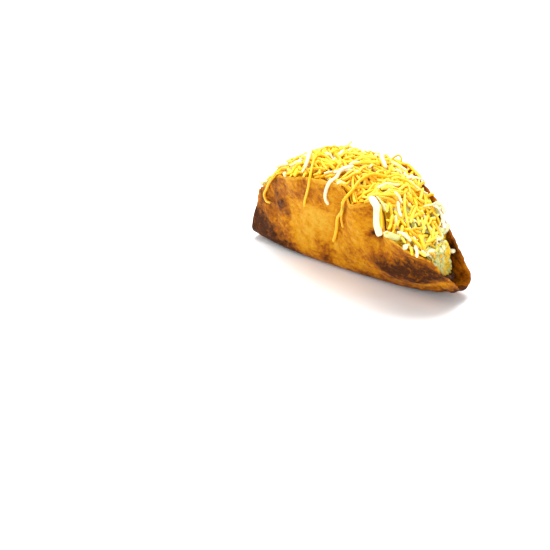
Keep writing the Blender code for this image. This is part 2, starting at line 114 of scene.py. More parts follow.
@dataclass(frozen=True)
class Sheet:
    """The folded tortilla's form: p runs along the fold, s across it, negative on the near side."""

    radius: float = 0.0745
    thickness: float = 0.0019
    fold_offset: float = 0.0027
    flat_near: float = 0.0080
    flat_far: float = 0.0060
    turn_length: float = 0.013
    closed_lift: float = 0.0032
    open_lift: float = 0.0070
    lift_starts: float = 0.42
    wall_curl: float = math.radians(-150.0)
    near_lean: tuple[float, ...] = tuple(math.radians(a) for a in (-10.0, 8.0, 12.0, 26.0, 38.0))
    far_lean: tuple[float, ...] = tuple(math.radians(a) for a in (6.0, 4.0, 14.0, 7.0, -22.0))

    def growth(self, p: Array, s: Array) -> Array:
        """How much longer than a true round the sheet is at p on the side of s.

        Args:
            p: places along the fold, in metres.
            s: places across it, negative on the near side.

        Returns:
            The share of its plain length that is added.
        """
        near = 0.034 * (1.0 - smooth_step((p - 0.003) / 0.008)) - 0.030 * bump(p, 0.0135, 0.0042)
        near = near + 0.034 * bump(p, 0.0240, 0.0072) + 0.030 * bump(p, 0.0460, 0.0060)
        near = near + 0.18 * smooth_step((p - 0.050) / 0.018) + 0.046 * bump(p, -0.0560, 0.0100)
        near = near + 0.25 * smooth_step((-p - 0.0600) / 0.0115)
        far = 0.040 * bump(p, -0.022, 0.018) - 0.075 * bump(p, 0.0580, 0.0075)
        return np.where(s < 0.0, near, far)

    def crease(self, up: Array) -> Array:
        """Where the crease between the near wall's two lobes runs, at a share up the wall."""
        return -0.012 + 0.022 * up

    def ripple(self, p: Array, s: Array) -> Array:
        """How far the fried sheet stands out from its plain bent form, along its outward normal.

        Args:
            p: places along the fold, in metres.
            s: places across it, negative on the near side.

        Returns:
            Distances in metres.
        """
        share = p / self.radius
        up = np.clip(np.abs(s) / self.radius, 0.0, 1.0)
        near = smooth_step((-s - 0.012) / 0.02)
        far = smooth_step((s - 0.012) / 0.02)
        crease = self.crease(up)
        step = 1.0 / (1.0 + np.exp(-(p - crease) / 0.0027))
        lobe = 0.0062 * step * np.exp(-np.clip(p - crease, 0.0, None) / 0.030)
        valley = -0.0034 * bump(p, crease - 0.003, 0.008) * (0.3 + 0.7 * up)
        tuck = -0.0120 * bump(p, 0.0275, 0.0090) * smooth_step((up - 0.45) / 0.55)
        dent = -0.0026 * bump(p, 0.0250, 0.0055) * bump(s, -0.0515, 0.0055)
        belly = 0.0040 * bump(p, 0.043, 0.022) * bump(s, -0.026, 0.012)
        pinch = -0.0020 * bump(p, 0.048, 0.025) * bump(s, -0.045, 0.007)
        far_wave = 0.0022 * np.sin(9.0 * share + 0.8) * up
        fine = 0.0007 * np.sin(1.9 + 190.0 * p + 60.0 * s) * np.sin(0.4 - 80.0 * p + 170.0 * s)
        return near * (lobe * up + valley + tuck + dent + belly + pinch) + far * far_wave + (near + far) * fine

    def bent(self, p: Array, s: Array) -> Array:
        """The plain bent form: places for p and s.

        Args:
            p: places along the fold, in metres.
            s: places across it, negative on the near side.

        Returns:
            Places in space.
        """
        share = p / self.radius
        side = np.where(s < 0.0, -1.0, 1.0)
        reach = np.abs(s)
        lean = np.where(s < 0.0, along_fold(self.near_lean, share), along_fold(self.far_lean, share))
        flat = np.where(s < 0.0, self.flat_near, self.flat_far) * (1.0 - 0.6 * share**2)
        upright = math.pi / 2 - lean
        steps = 30
        y = np.zeros_like(p)
        z = np.zeros_like(p)
        for k in range(steps):
            at = reach * (k + 0.5) / steps
            turned = np.clip((at - flat) / self.turn_length, 0.0, 1.0)
            angle = upright * (1.0 - (1.0 - turned) ** 2)
            angle = angle + self.wall_curl * np.clip(at - flat - self.turn_length, 0.0, None)
            y += np.cos(angle) * reach / steps
            z += np.sin(angle) * reach / steps
        lift = np.clip((np.abs(share) - self.lift_starts) / (1.0 - self.lift_starts), 0.0, 1.0)
        return np.stack([p, side * y, z + np.where(p < 0.0, self.closed_lift, self.open_lift) * lift**2], axis=-1)

    def outer(self, p: Array, s: Array) -> Array:
        """The outer face without its blisters."""
        return self.bent(p, s) + self.facing(self.bent, p, s) * self.ripple(p, s)[..., None]

    def facing(self, form: Callable[[Array, Array], Array], p: Array, s: Array) -> Array:
        """Outward unit normals of a form of p and s.

        Args:
            form: the form.
            p: places along the fold, in metres.
            s: places across it, negative on the near side.

        Returns:
            Unit vectors.
        """
        h = 4e-4
        along = form(p + h, s) - form(p - h, s)
        across = form(p, s + h) - form(p, s - h)
        n = np.cross(across, along)
        return n / np.maximum(np.linalg.norm(n, axis=-1, keepdims=True), 1e-9)

    def beside(self, p: Array | float, s: Array | float, out: Array | float) -> Array:
        """Places at distance out from the outer face: negative is inside the fold."""
        p, s, out = np.broadcast_arrays(np.asarray(p, float), np.asarray(s, float), np.asarray(out, float))
        return self.outer(p, s) + self.facing(self.outer, p, s) * out[..., None]

    def reach(self, p: Array, side: float) -> Array:
        """How far the sheet runs from the fold at p, on the near side (-1) or the far one (1)."""
        half = np.sqrt(np.maximum(self.radius**2 - np.asarray(p, float) ** 2, 0.0))
        return (half - side * self.fold_offset) * (1.0 + self.growth(p, side * half))

    def wall(self, p: Array, side: float, share: Array | float, inside: float = 0.0010) -> Array:
        """Places just inside a wall, at a share of the way from the fold to the rim."""
        reach = self.reach(p, side) * share
        return self.beside(p, side * reach, np.full_like(reach, -self.thickness - inside))


class ShaderTree:
    """A material's node tree, built a node at a time."""

    def __init__(self, name: str) -> None:
        """Starts a material with a bare Principled shader.

        Args:
            name: the material's name.
        """
        self.material = bpy.data.materials.new(name)
        self.material.use_nodes = True
        self.tree = self.material.node_tree
        self.shader = self.tree.nodes["Principled BSDF"]

    def add(self, kind: str, settings: dict | None = None, **inputs: object) -> bpy.types.Node:
        """Adds a node.

        Args:
            kind: the node's Blender type.
            settings: attributes of the node to set.
            inputs: values or output sockets by input name, with spaces written as underscores.

        Returns:
            The node.
        """
        node = self.tree.nodes.new(kind)
        for key, value in (settings or {}).items():
            setattr(node, key, value)
        for key, value in inputs.items():
            self.give(node.inputs[key.replace("_", " ")], value)
        return node

    def give(self, socket: bpy.types.NodeSocket, value: object) -> None:
        """Sets a socket to a value, or links an output socket to it.

        Args:
            socket: the input.
            value: a value or an output socket.
        """
        if isinstance(value, bpy.types.NodeSocket):
            self.tree.links.new(value, socket)
        else:
            socket.default_value = value

    def spots(
        self, scale: float, detail: float = 4.0, rough: float = 0.55, warp: float = 0.0
    ) -> bpy.types.NodeSocket:
        """Noise on object coordinates, in lumps per metre.

        Args:
            scale: lumps per metre.
            detail: how many finer layers it has.
            rough: how strong they are.
            warp: how far it is twisted.

        Returns:
            The noise, 0 to 1.
        """
        place = self.add("ShaderNodeTexCoord").outputs["Object"]
        noise = self.add(
            "ShaderNodeTexNoise", Vector=place, Scale=scale, Detail=detail, Roughness=rough, Distortion=warp
        )
        return noise.outputs["Fac"]

    def ramp(self, source: bpy.types.NodeSocket, stops: list[tuple[float, tuple]]) -> bpy.types.NodeSocket:
        """A colour ramp.

        Args:
            source: what it reads.
            stops: positions with their linear colours.

        Returns:
            The colour output.
        """
        node = self.add("ShaderNodeValToRGB", Fac=source)
        band = node.color_ramp
        while len(band.elements) < len(stops):
            band.elements.new(0.5)
        for element, (place, colour) in zip(band.elements, stops):
            element.position = place
            element.color = (*colour, 1.0)
        return node.outputs["Color"]

    def maths(self, operation: str, a: object, b: object, clamp: bool = False) -> bpy.types.NodeSocket:
        """One Math node of two inputs.

        Args:
            operation: the node's operation.
            a: its first input, a value or a socket.
            b: its second.
            clamp: whether the result stays between 0 and 1.

        Returns:
            The result.
        """
        node = self.add("ShaderNodeMath", {"operation": operation, "use_clamp": clamp})
        self.give(node.inputs[0], a)
        self.give(node.inputs[1], b)
        return node.outputs[0]

    def blend(self, share: object, first: object, second: object) -> bpy.types.NodeSocket:
        """Mixes two colours.

        Args:
            share: how much of the second.
            first: a colour or socket.
            second: another.

        Returns:
            The colour output.
        """
        node = self.add("ShaderNodeMix", {"data_type": "RGBA"})
        self.give(node.inputs["Factor"], share)
        self.give(node.inputs[6], first if isinstance(first, bpy.types.NodeSocket) else (*first, 1.0))
        self.give(node.inputs[7], second if isinstance(second, bpy.types.NodeSocket) else (*second, 1.0))
        return node.outputs[2]

    def attribute(self, name: str) -> bpy.types.NodeSocket:
        """A number stored on the mesh."""
        return self.add("ShaderNodeAttribute", {"attribute_name": name}).outputs["Fac"]

    def relief(self, height: bpy.types.NodeSocket, strength: float, distance: float) -> None:
        """Adds a bump to the shader's normal."""
        node = self.add("ShaderNodeBump", Height=height, Strength=strength, Distance=distance)
        self.tree.links.new(node.outputs["Normal"], self.shader.inputs["Normal"])

    def through(self, weight: float, radius: tuple[float, float, float], scale: float) -> None:
        """Lets light through the surface.

        Args:
            weight: how much of it.
            radius: how far each colour travels.
            scale: what that is in metres.
        """
        self.shader.inputs["Subsurface Weight"].default_value = weight
        self.shader.inputs["Subsurface Radius"].default_value = radius
        self.shader.inputs["Subsurface Scale"].default_value = scale


@dataclass(frozen=True)
class FriedCorn:
    """Fried corn masa: gold to toasted brown by the toast-and-shade number on the mesh, which also carries painted
    shade and a painted highlight; with flecks and fine pits.
    """

    pale: Colour = (0.68, 0.37, 0.030)
    gold: Colour = (0.62, 0.255, 0.002)
    toasted: Colour = (0.37, 0.105, 0.0005)
    # the darkest stop: burnt crust, and the painted shade low on the walls
    burnt_and_shade: Colour = (0.055, 0.013, 0.0005)
    sheen: float = 0.09

    def make(self) -> bpy.types.Material:
        """Builds the material.

        Returns:
            The material.
        """
        look = ShaderTree("fried corn masa")
        toast_and_shade = look.attribute("toast_and_shade")
        mottle = look.maths("SUBTRACT", look.spots(110.0, 6.0, 0.66, 0.4), 0.5)
        patches = look.maths("SUBTRACT", look.spots(310.0, 4.0, 0.6, 0.3), 0.5)
        grain = look.maths("SUBTRACT", look.spots(760.0, 3.0, 0.7), 0.5)
        level = look.maths("ADD", toast_and_shade, look.maths("MULTIPLY", mottle, 0.80))
        level = look.maths("ADD", level, look.maths("MULTIPLY", patches, 0.95))
        level = look.maths("ADD", level, look.maths("MULTIPLY", grain, 0.34), clamp=True)
        colour = look.ramp(
            level,
            [(0.08, self.pale), (0.36, self.gold), (0.62, self.toasted), (0.95, self.burnt_and_shade)],
        )
        flecks = look.ramp(look.spots(1150.0, 2.0, 0.6), [(0.62, (0.0, 0.0, 0.0)), (0.72, (1.0, 1.0, 1.0))])
        colour = look.blend(look.maths("MULTIPLY", flecks, 0.55), colour, self.toasted)
        look.give(look.shader.inputs["Base Color"], colour)
        rough = look.ramp(look.spots(240.0, 4.0, 0.6), [(0.3, (0.48,) * 3), (0.75, (0.72,) * 3)])
        look.give(look.shader.inputs["Roughness"], rough)
        look.shader.inputs["Specular IOR Level"].default_value = self.sheen
        pits = look.maths("ADD", look.spots(520.0, 5.0, 0.65), look.maths("MULTIPLY", look.spots(1500.0, 2.0), 0.35))
        pits = look.maths("ADD", pits, look.maths("MULTIPLY", look.spots(210.0, 4.0), 1.3))
        look.relief(pits, 0.7, 0.0010)
        look.through(0.06, (0.9, 0.42, 0.06), 0.0014)
        return look.material


@dataclass(frozen=True)
class Grated:
    """Grated cheese, its shreds each a little different by the tone number on the mesh."""

    name: str
    dark: Colour
    middle: Colour
    light: Colour
    soft: Colour

    def make(self) -> bpy.types.Material:
        """Builds the material.

        Returns:
            The material.
        """
        look = ShaderTree(self.name)
        tone = look.maths("ADD", look.attribute("tone"), look.maths("MULTIPLY", look.spots(260.0, 3.0), 0.24))
        tone = look.maths("SUBTRACT", tone, 0.12, clamp=True)
        colour = look.ramp(tone, [(0.0, self.dark), (0.5, self.middle), (1.0, self.light)])
        look.give(look.shader.inputs["Base Color"], colour)
        look.shader.inputs["Roughness"].default_value = 0.42
        look.shader.inputs["Specular IOR Level"].default_value = 0.45
        look.relief(look.spots(900.0, 4.0, 0.6), 0.35, 0.0003)
        look.through(0.55, self.soft, 0.0022)
        return look.material


@dataclass(frozen=True)
class Leaf:
    """Shredded iceberg lettuce: nearly white ribs to pale green blades, wet and thin."""

    rib: Colour = (0.86, 0.82, 0.55)
    blade: Colour = (0.64, 0.68, 0.22)
    edge: Colour = (0.38, 0.48, 0.07)

    def make(self) -> bpy.types.Material:
        """Builds the material.

        Returns:
            The material.
        """
        look = ShaderTree("iceberg lettuce")
        tone = look.maths("ADD", look.attribute("tone"), look.maths("MULTIPLY", look.spots(170.0, 3.0), 0.5))
        tone = look.maths("SUBTRACT", tone, 0.25, clamp=True)
        colour = look.ramp(tone, [(0.0, self.rib), (0.55, self.blade), (1.0, self.edge)])
        look.give(look.shader.inputs["Base Color"], colour)
        look.shader.inputs["Roughness"].default_value = 0.24
        look.relief(look.spots(700.0, 4.0, 0.6), 0.4, 0.0003)
        look.through(0.6, (0.7, 0.9, 0.3), 0.0020)
        return look.material


@dataclass(frozen=True)
class Browned:
    """Browned ground beef in its own fat."""

    dark: Colour = (0.020, 0.007, 0.003)
    middle: Colour = (0.085, 0.030, 0.010)
    light: Colour = (0.21, 0.085, 0.030)

    def make(self) -> bpy.types.Material:
        """Builds the material.

        Returns:
            The material.
        """
        look = ShaderTree("browned beef")
        colour = look.ramp(
            look.spots(330.0, 6.0, 0.65), [(0.30, self.dark), (0.52, self.middle), (0.74, self.light)]
        )
        look.give(look.shader.inputs["Base Color"], colour)
        look.shader.inputs["Roughness"].default_value = 0.38
        look.relief(look.spots(850.0, 5.0, 0.7), 0.7, 0.0005)
        return look.material


@dataclass(frozen=True)
class Backdrop:
    """The pale studio floor."""

    colour: Colour = (0.93, 0.93, 0.93)

    def make(self) -> bpy.types.Material:
        """Builds the material.

        Returns:
            The material.
        """
        look = ShaderTree("studio floor")
        shade = look.ramp(look.spots(3.0, 2.0), [(0.2, self.colour), (0.8, tuple(c * 0.99 for c in self.colour))])
        look.give(look.shader.inputs["Base Color"], shade)
        look.shader.inputs["Roughness"].default_value = 0.65
        look.shader.inputs["Specular IOR Level"].default_value = 0.2
        return look.material


class Kind(Enum):
    """What a shred is cut from."""

    CHEDDAR = "cheddar"
    WHITE = "white"
    LETTUCE = "lettuce"


@dataclass
class Shred:
    """One shred: its path, the width at each point, its twist and its tone."""

    kind: Kind
    points: Array
    girth: Array
    twist: Array
    tone: float


def put(name: str, mesh: bpy.types.Mesh) -> bpy.types.Object:
    """Links a mesh to the scene as an object at the origin.

    Args:
        name: the object's name.
        mesh: its mesh.

    Returns:
        The object.
    """
    obj = bpy.data.objects.new(name, mesh)
    bpy.context.scene.collection.objects.link(obj)
    return obj


def join_into(piece: bpy.types.Object, node: str) -> None:
    """Makes a finished piece ride with the part in place of one of its solids.

    Args:
        piece: the finished piece.
        node: the solid that it stands for.
    """
    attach(piece, "root")
    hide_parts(node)
    LOG.info("%s: %d faces", piece.name, len(piece.data.polygons))


class ShredMaker:
    """Turns shreds' paths into solid strips with Geometry Nodes, one piece for each kind."""

    def __init__(self, name: str, width: float, thickness: float, finish: bpy.types.Material) -> None:
        """Keeps the strip's cross-section and finish.

        Args:
            name: the piece's name.
            width: a strip's width where its girth is 1, in metres.
            thickness: its thickness there.
            finish: its material.
        """
        self.name = name
        self.width = width
        self.thickness = thickness
        self.finish = finish

    def tree(self) -> bpy.types.GeometryNodeTree:
        """The node tree: mesh paths to curves, swept by a rounded bar, realized and given the finish.

        Returns:
            The tree, with its sizes as inputs.
        """
        tree = bpy.data.node_groups.new(self.name + " strips", "GeometryNodeTree")
        face = tree.interface
        face.new_socket("Geometry", in_out="INPUT", socket_type="NodeSocketGeometry")
        for label, value in (("Width", self.width), ("Thickness", self.thickness)):
            socket = face.new_socket(label, in_out="INPUT", socket_type="NodeSocketFloat")
            socket.default_value = value
        face.new_socket("Geometry", in_out="OUTPUT", socket_type="NodeSocketGeometry")
        nodes, links = tree.nodes, tree.links
        source, sink = nodes.new("NodeGroupInput"), nodes.new("NodeGroupOutput")
        curve = nodes.new("GeometryNodeMeshToCurve")
        tilt = nodes.new("GeometryNodeSetCurveTilt")
        readers = []
        for label in ("girth", "twist"):
            reader = nodes.new("GeometryNodeInputNamedAttribute")
            reader.data_type = "FLOAT"
            reader.inputs["Name"].default_value = label
            readers.append(reader)
        profile = nodes.new("GeometryNodeCurvePrimitiveCircle")
        profile.inputs["Resolution"].default_value = 8
        profile.inputs["Radius"].default_value = 0.56
        size = nodes.new("ShaderNodeCombineXYZ")
        size.inputs["Z"].default_value = 1.0
        shape = nodes.new("GeometryNodeTransform")
        sweep = nodes.new("GeometryNodeCurveToMesh")
        sweep.inputs["Fill Caps"].default_value = True
        smooth = nodes.new("GeometryNodeSetShadeSmooth")
        real = nodes.new("GeometryNodeRealizeInstances")
        paint = nodes.new("GeometryNodeSetMaterial")
        paint.inputs["Material"].default_value = self.finish
        links.new(source.outputs["Geometry"], curve.inputs["Mesh"])
        links.new(curve.outputs["Curve"], tilt.inputs["Curve"])
        links.new(readers[1].outputs["Attribute"], tilt.inputs["Tilt"])
        links.new(source.outputs["Width"], size.inputs["X"])
        links.new(source.outputs["Thickness"], size.inputs["Y"])
        links.new(size.outputs["Vector"], shape.inputs["Scale"])
        links.new(profile.outputs["Curve"], shape.inputs["Geometry"])
        links.new(tilt.outputs["Curve"], sweep.inputs["Curve"])
        links.new(shape.outputs["Geometry"], sweep.inputs["Profile Curve"])
        links.new(readers[0].outputs["Attribute"], sweep.inputs["Scale"])
        links.new(sweep.outputs["Mesh"], smooth.inputs["Geometry"])
        links.new(smooth.outputs["Geometry"], real.inputs["Geometry"])
        links.new(real.outputs["Geometry"], paint.inputs["Geometry"])
        links.new(paint.outputs["Geometry"], sink.inputs["Geometry"])
        return tree

    def make(self, shreds: list[Shred], extra: bpy.types.Object | None = None) -> bpy.types.Object:
        """Builds the strips.

        Args:
            shreds: the shreds of this kind.
            extra: another object to join in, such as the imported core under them.

        Returns:
            The finished piece.
        """
        points = np.concatenate([shred.points for shred in shreds])
        edges = []
        start = 0
        for shred in shreds:
            count = len(shred.points)
            edges += [(start + k, start + k + 1) for k in range(count - 1)]
            start += count
        mesh = bpy.data.meshes.new(self.name + "_paths")
        mesh.from_pydata([tuple(point) for point in points], edges, [])
        for label, values in (
            ("girth", np.concatenate([shred.girth for shred in shreds])),
            ("twist", np.concatenate([shred.twist for shred in shreds])),
            ("tone", np.concatenate([np.full(len(shred.points), shred.tone) for shred in shreds])),
        ):
            mesh.attributes.new(label, "FLOAT", "POINT").data.foreach_set("value", values.astype(np.float32))
        paths = put(self.name + "_paths", mesh)
        tree = self.tree()
        modifier = paths.modifiers.new("strips", "NODES")
        modifier.node_group = tree
        sizes = {"Width": self.width, "Thickness": self.thickness}
        for item in tree.interface.items_tree:
            if item.in_out == "INPUT" and item.name in sizes:
                modifier[item.identifier] = sizes[item.name]
        bpy.context.view_layer.update()
        graph = bpy.context.evaluated_depsgraph_get()
        made = bpy.data.meshes.new_from_object(paths.evaluated_get(graph))
        bpy.data.objects.remove(paths)
        made.name = self.name
        piece = put(self.name, made)
        if extra is not None:
            piece = self.joined(piece, extra)
        return piece

    def joined(self, piece: bpy.types.Object, extra: bpy.types.Object) -> bpy.types.Object:
        """Adds another object's mesh to the piece and removes that object.

        Args:
            piece: the piece.
            extra: the object to add.

        Returns:
            The piece.
        """
        bm = bmesh.new()
        bm.from_mesh(piece.data)
        bm.from_mesh(extra.data)
        bm.to_mesh(piece.data)
        bm.free()
        bpy.data.objects.remove(extra)
        return piece


@dataclass(frozen=True)
class Patch:
    """A darker or paler patch of a wall, a soft spot: its middle, its size and how much darker it is. Some are browning
    of the crust, some painted shade.
    """

    p: float
    s: float
    along: float
    across: float
    darker_by: float

    def at(self, p: Array, s: Array) -> Array:
        """How much darker it makes each place."""
        return self.darker_by * bump(p, self.p, self.along) * bump(s, self.s, self.across)


NEAR_PATCHES = (
    Patch(-0.045, -0.049, 0.007, 0.012, 0.24),
    Patch(0.020, -0.066, 0.012, 0.010, 0.22),
    Patch(-0.017, -0.042, 0.016, 0.012, -0.22),
    Patch(0.016, -0.064, 0.012, 0.008, -0.10),
    Patch(0.010, -0.036, 0.018, 0.012, 0.10),
    # painted shade under the overhang, low towards the open end
    Patch(0.047, -0.0320, 0.019, 0.0080, 0.66),
    Patch(0.060, -0.020, 0.016, 0.006, -0.20),
    # painted shade where the closed end turns under
    Patch(-0.062, -0.014, 0.022, 0.013, 0.50),
    # painted shade in the small dent
    Patch(0.0255, -0.0520, 0.0034, 0.0026, 1.10),
)


@dataclass
class Tortilla:
    """The fried, folded tortilla, with blisters, an uneven rim and its toasting, and painted shade and a painted
    highlight in its colour.
    """

    sheet: Sheet = field(default_factory=Sheet)
    cells: int = 150
    blister_count: int = 95
    blister_rise: float = 0.0010
    rim_flakes: float = 0.0004
    rim_round: float = 0.00035
    fine_low: float = 0.00022
    seed: int = 5

    def blisters(self, p: Array, s: Array) -> Array:
        """How high the fried-in bubbles stand, 0 to about 1.

        Args:
            p: places along the fold, in metres.
            s: places across it, negative on the near side.

        Returns:
            Heights.
        """
        rng = random.Random(self.seed)
        height = np.zeros_like(p)
        for _ in range(self.blister_count):
            angle, reach = rng.uniform(0.0, 2.0 * math.pi), self.sheet.radius * math.sqrt(rng.random())
            wide = rng.uniform(0.0016, 0.0050)
            long = wide * rng.uniform(1.0, 1.9)
            turn = rng.uniform(0.0, math.pi)
            a, b = p - reach * math.cos(angle), s - reach * math.sin(angle)
            u = (a * math.cos(turn) + b * math.sin(turn)) / long
            v = (b * math.cos(turn) - a * math.sin(turn)) / wide
            dome = np.clip(1.0 - u * u - v * v, 0.0, None) ** 0.8
            height = np.maximum(height, dome * rng.uniform(0.45, 1.0))
        return height

    def toast_and_shade(self, p: Array, s: Array, places: Array, blister: Array) -> Array:
        """How dark each place is, 0 pale to 1 darkest: its browning, with painted shade low down, in the crease, at
        both ends and inside the far wall, and a painted highlight along the rim.

        Args:
            p: places along the fold, in metres.
            s: places across it, negative on the near side.
            places: the same in space.
            blister: how high the bubbles stand there.

        Returns:
            One number per place.
        """
        up = np.clip(np.abs(s) / self.sheet.radius, 0.0, 1.0)
        rim = np.abs(s) / np.maximum(self.sheet.reach(p, -1.0), 1e-4)
        near = (s < 0.0).astype(float)
        level = 0.42 + 0.15 * value_noise(places, 0.017, 3) + 0.14 * value_noise(places, 0.0060, 4)
        # darker low down by the fold: painted shade
        low = smooth_step((0.30 - up) / 0.26)
        # darker towards the closed end: painted shade where the wall turns away
        closed_end = 0.22 * smooth_step((-p - 0.044) / 0.020)
        lobe_top = 0.12 * smooth_step((up - 0.62) / 0.2) * smooth_step((-p - 0.002) / 0.01)
        # darker low on the near wall towards the open end: painted shade
        open_low_shade = 0.22 * smooth_step((p - 0.024) / 0.02) * smooth_step((s + 0.056) / 0.014)
        # darker in the crease between the lobes: painted shade
        crease_shade = 0.12 * bump(p, self.sheet.crease(up) - 0.001, 0.004) * smooth_step((up - 0.2) / 0.3)
        patches = sum(patch.at(p, s) for patch in NEAR_PATCHES)
        level += near * (closed_end + lobe_top + open_low_shade + crease_shade + 0.34 * low + patches)
        # the far wall darker, most towards the open end: painted shade inside the shell
        level += (1.0 - near) * (0.10 + 0.16 * smooth_step((p - 0.030) / 0.02))
        # paler along the rim, half as much on the far side: a painted highlight on the edge
        level -= 0.30 * smooth_step((rim - 0.962) / 0.02) * (0.5 + 0.5 * near)
        level += 0.22 * np.clip(blister - 0.55, 0.0, None) - 0.10 * bump(blister, 0.25, 0.16)
        return np.clip(level, 0.0, 1.0)

    def grid(self) -> tuple[Array, Array]:
        """p and s of a grid laid over the round sheet.

        Returns:
            p and s, both in metres.
        """
        line = np.linspace(-1.0, 1.0, self.cells + 1)
        u, v = np.meshgrid(line, line, indexing="ij")
        wide = np.abs(u) > np.abs(v)
        r = np.where(wide, u, v)
        ratio = np.where(wide, v, u) / np.where(np.abs(r) < 1e-9, 1.0, r)
        angle = ratio * math.pi / 4
        a, b = r * np.cos(angle), r * np.sin(angle)
        p, s = np.where(wide, a, b) * self.sheet.radius, np.where(wide, b, a) * self.sheet.radius
        around = np.arctan2(s, p)
        edge = smooth_step((np.hypot(p, s) / self.sheet.radius - 0.93) / 0.07)
        circle = np.stack([np.cos(around), np.sin(around), np.zeros_like(around)], axis=-1) * 0.05
        nibble = value_noise(circle, 0.0021, 8) + 0.7 * value_noise(circle, 0.0009, 9)
        shrink = 1.0 - edge * (self.rim_flakes / self.sheet.radius) * (1.0 + nibble)
        p, s = p * shrink, s * shrink - self.sheet.fold_offset
        return p, s * (1.0 + self.sheet.growth(p, s))

    def make(self, finish: bpy.types.Material) -> bpy.types.Object:
        """Builds the tortilla and dresses it.

        Args:
            finish: its material.

        Returns:
            The finished piece.
        """
        p, s = self.grid()
        outer = self.sheet.outer(p, s)
        facing = self.sheet.facing(self.sheet.outer, p, s)
        blister = self.blisters(p, s)
        resting = smooth_step((outer[..., 2] - 0.0006) / 0.004)
        fine = 0.00022 * value_noise(outer, 0.0024, 21) + 0.00034 * value_noise(outer, 0.0056, 22)
        rise = (self.blister_rise * blister + fine) * resting
        edge = np.hypot(p / self.sheet.radius, (s + self.sheet.fold_offset) / self.sheet.radius)
        thin = 1.0 - 0.30 * smooth_step((edge - 0.97) / 0.03)
        half = self.sheet.thickness * thin + 0.00022 * value_noise(outer, 0.006, 23)
        top = outer + facing * (rise - self.fine_low)[..., None]
        inner = outer - facing * (half - 0.4 * rise * (blister > 0.0))[..., None]
        top_flat, inner_flat = top.reshape(-1, 3), inner.reshape(-1, 3)
        toast_and_shade = self.toast_and_shade(p, s, outer, blister)
        count = self.cells + 1
        index = np.arange(count * count).reshape(count, count)
        a, b, c, d = index[:-1, :-1], index[:-1, 1:], index[1:, 1:], index[1:, :-1]
        faces = np.stack([a, b, c, d], axis=-1).reshape(-1, 4)
        back = faces[:, ::-1] + count * count
        loop = np.concatenate([index[0, :-1], index[:-1, -1], index[-1, :0:-1], index[:0:-1, 0]])
        follow = np.roll(loop, -1)
        middle = len(top_flat) * 2 + np.arange(len(loop))
        rim_mid = (top_flat[loop] + inner_flat[loop]) / 2
        along = top_flat[follow] - top_flat[loop]
        across = inner_flat[loop] - top_flat[loop]
        push = np.cross(along, across)
        push /= np.maximum(np.linalg.norm(push, axis=-1, keepdims=True), 1e-9)
        outward = rim_mid - np.array([0.0, 0.0, 0.02])
        push *= np.where((push * outward).sum(axis=-1) < 0.0, -1.0, 1.0)[:, None]
        rim_mid = rim_mid + push * self.rim_round
        after = np.roll(middle, -1)
        band = np.concatenate(
            [
                np.stack([loop, middle, after, follow], axis=-1),
                np.stack([middle, loop + count * count, follow + count * count, after], axis=-1),
            ]
        )
        points = np.concatenate([top_flat, inner_flat, rim_mid])
        mesh = bpy.data.meshes.new("fried_tortilla")
        mesh.from_pydata(points.tolist(), [], np.concatenate([faces, back, band]).tolist())
        flat = toast_and_shade.reshape(-1)
        # the inner face a little darker, painted shade inside the fold; the rim band a little paler, a painted
        # highlight on the edge
        values = np.concatenate([flat, np.clip(flat + 0.05, 0.0, 1.0), np.clip(flat[loop] - 0.04, 0.0, 1.0)])
        mesh.attributes.new("toast_and_shade", "FLOAT", "POINT").data.foreach_set("value", values.astype(np.float32))
        bm = bmesh.new()
        bm.from_mesh(mesh)
        bmesh.ops.recalc_face_normals(bm, faces=bm.faces)
        bm.to_mesh(mesh)
        bm.free()
        mesh.shade_smooth()
        mesh.materials.append(finish)
        piece = put("fried_tortilla", mesh)
        join_into(piece, "tortilla")
        return piece


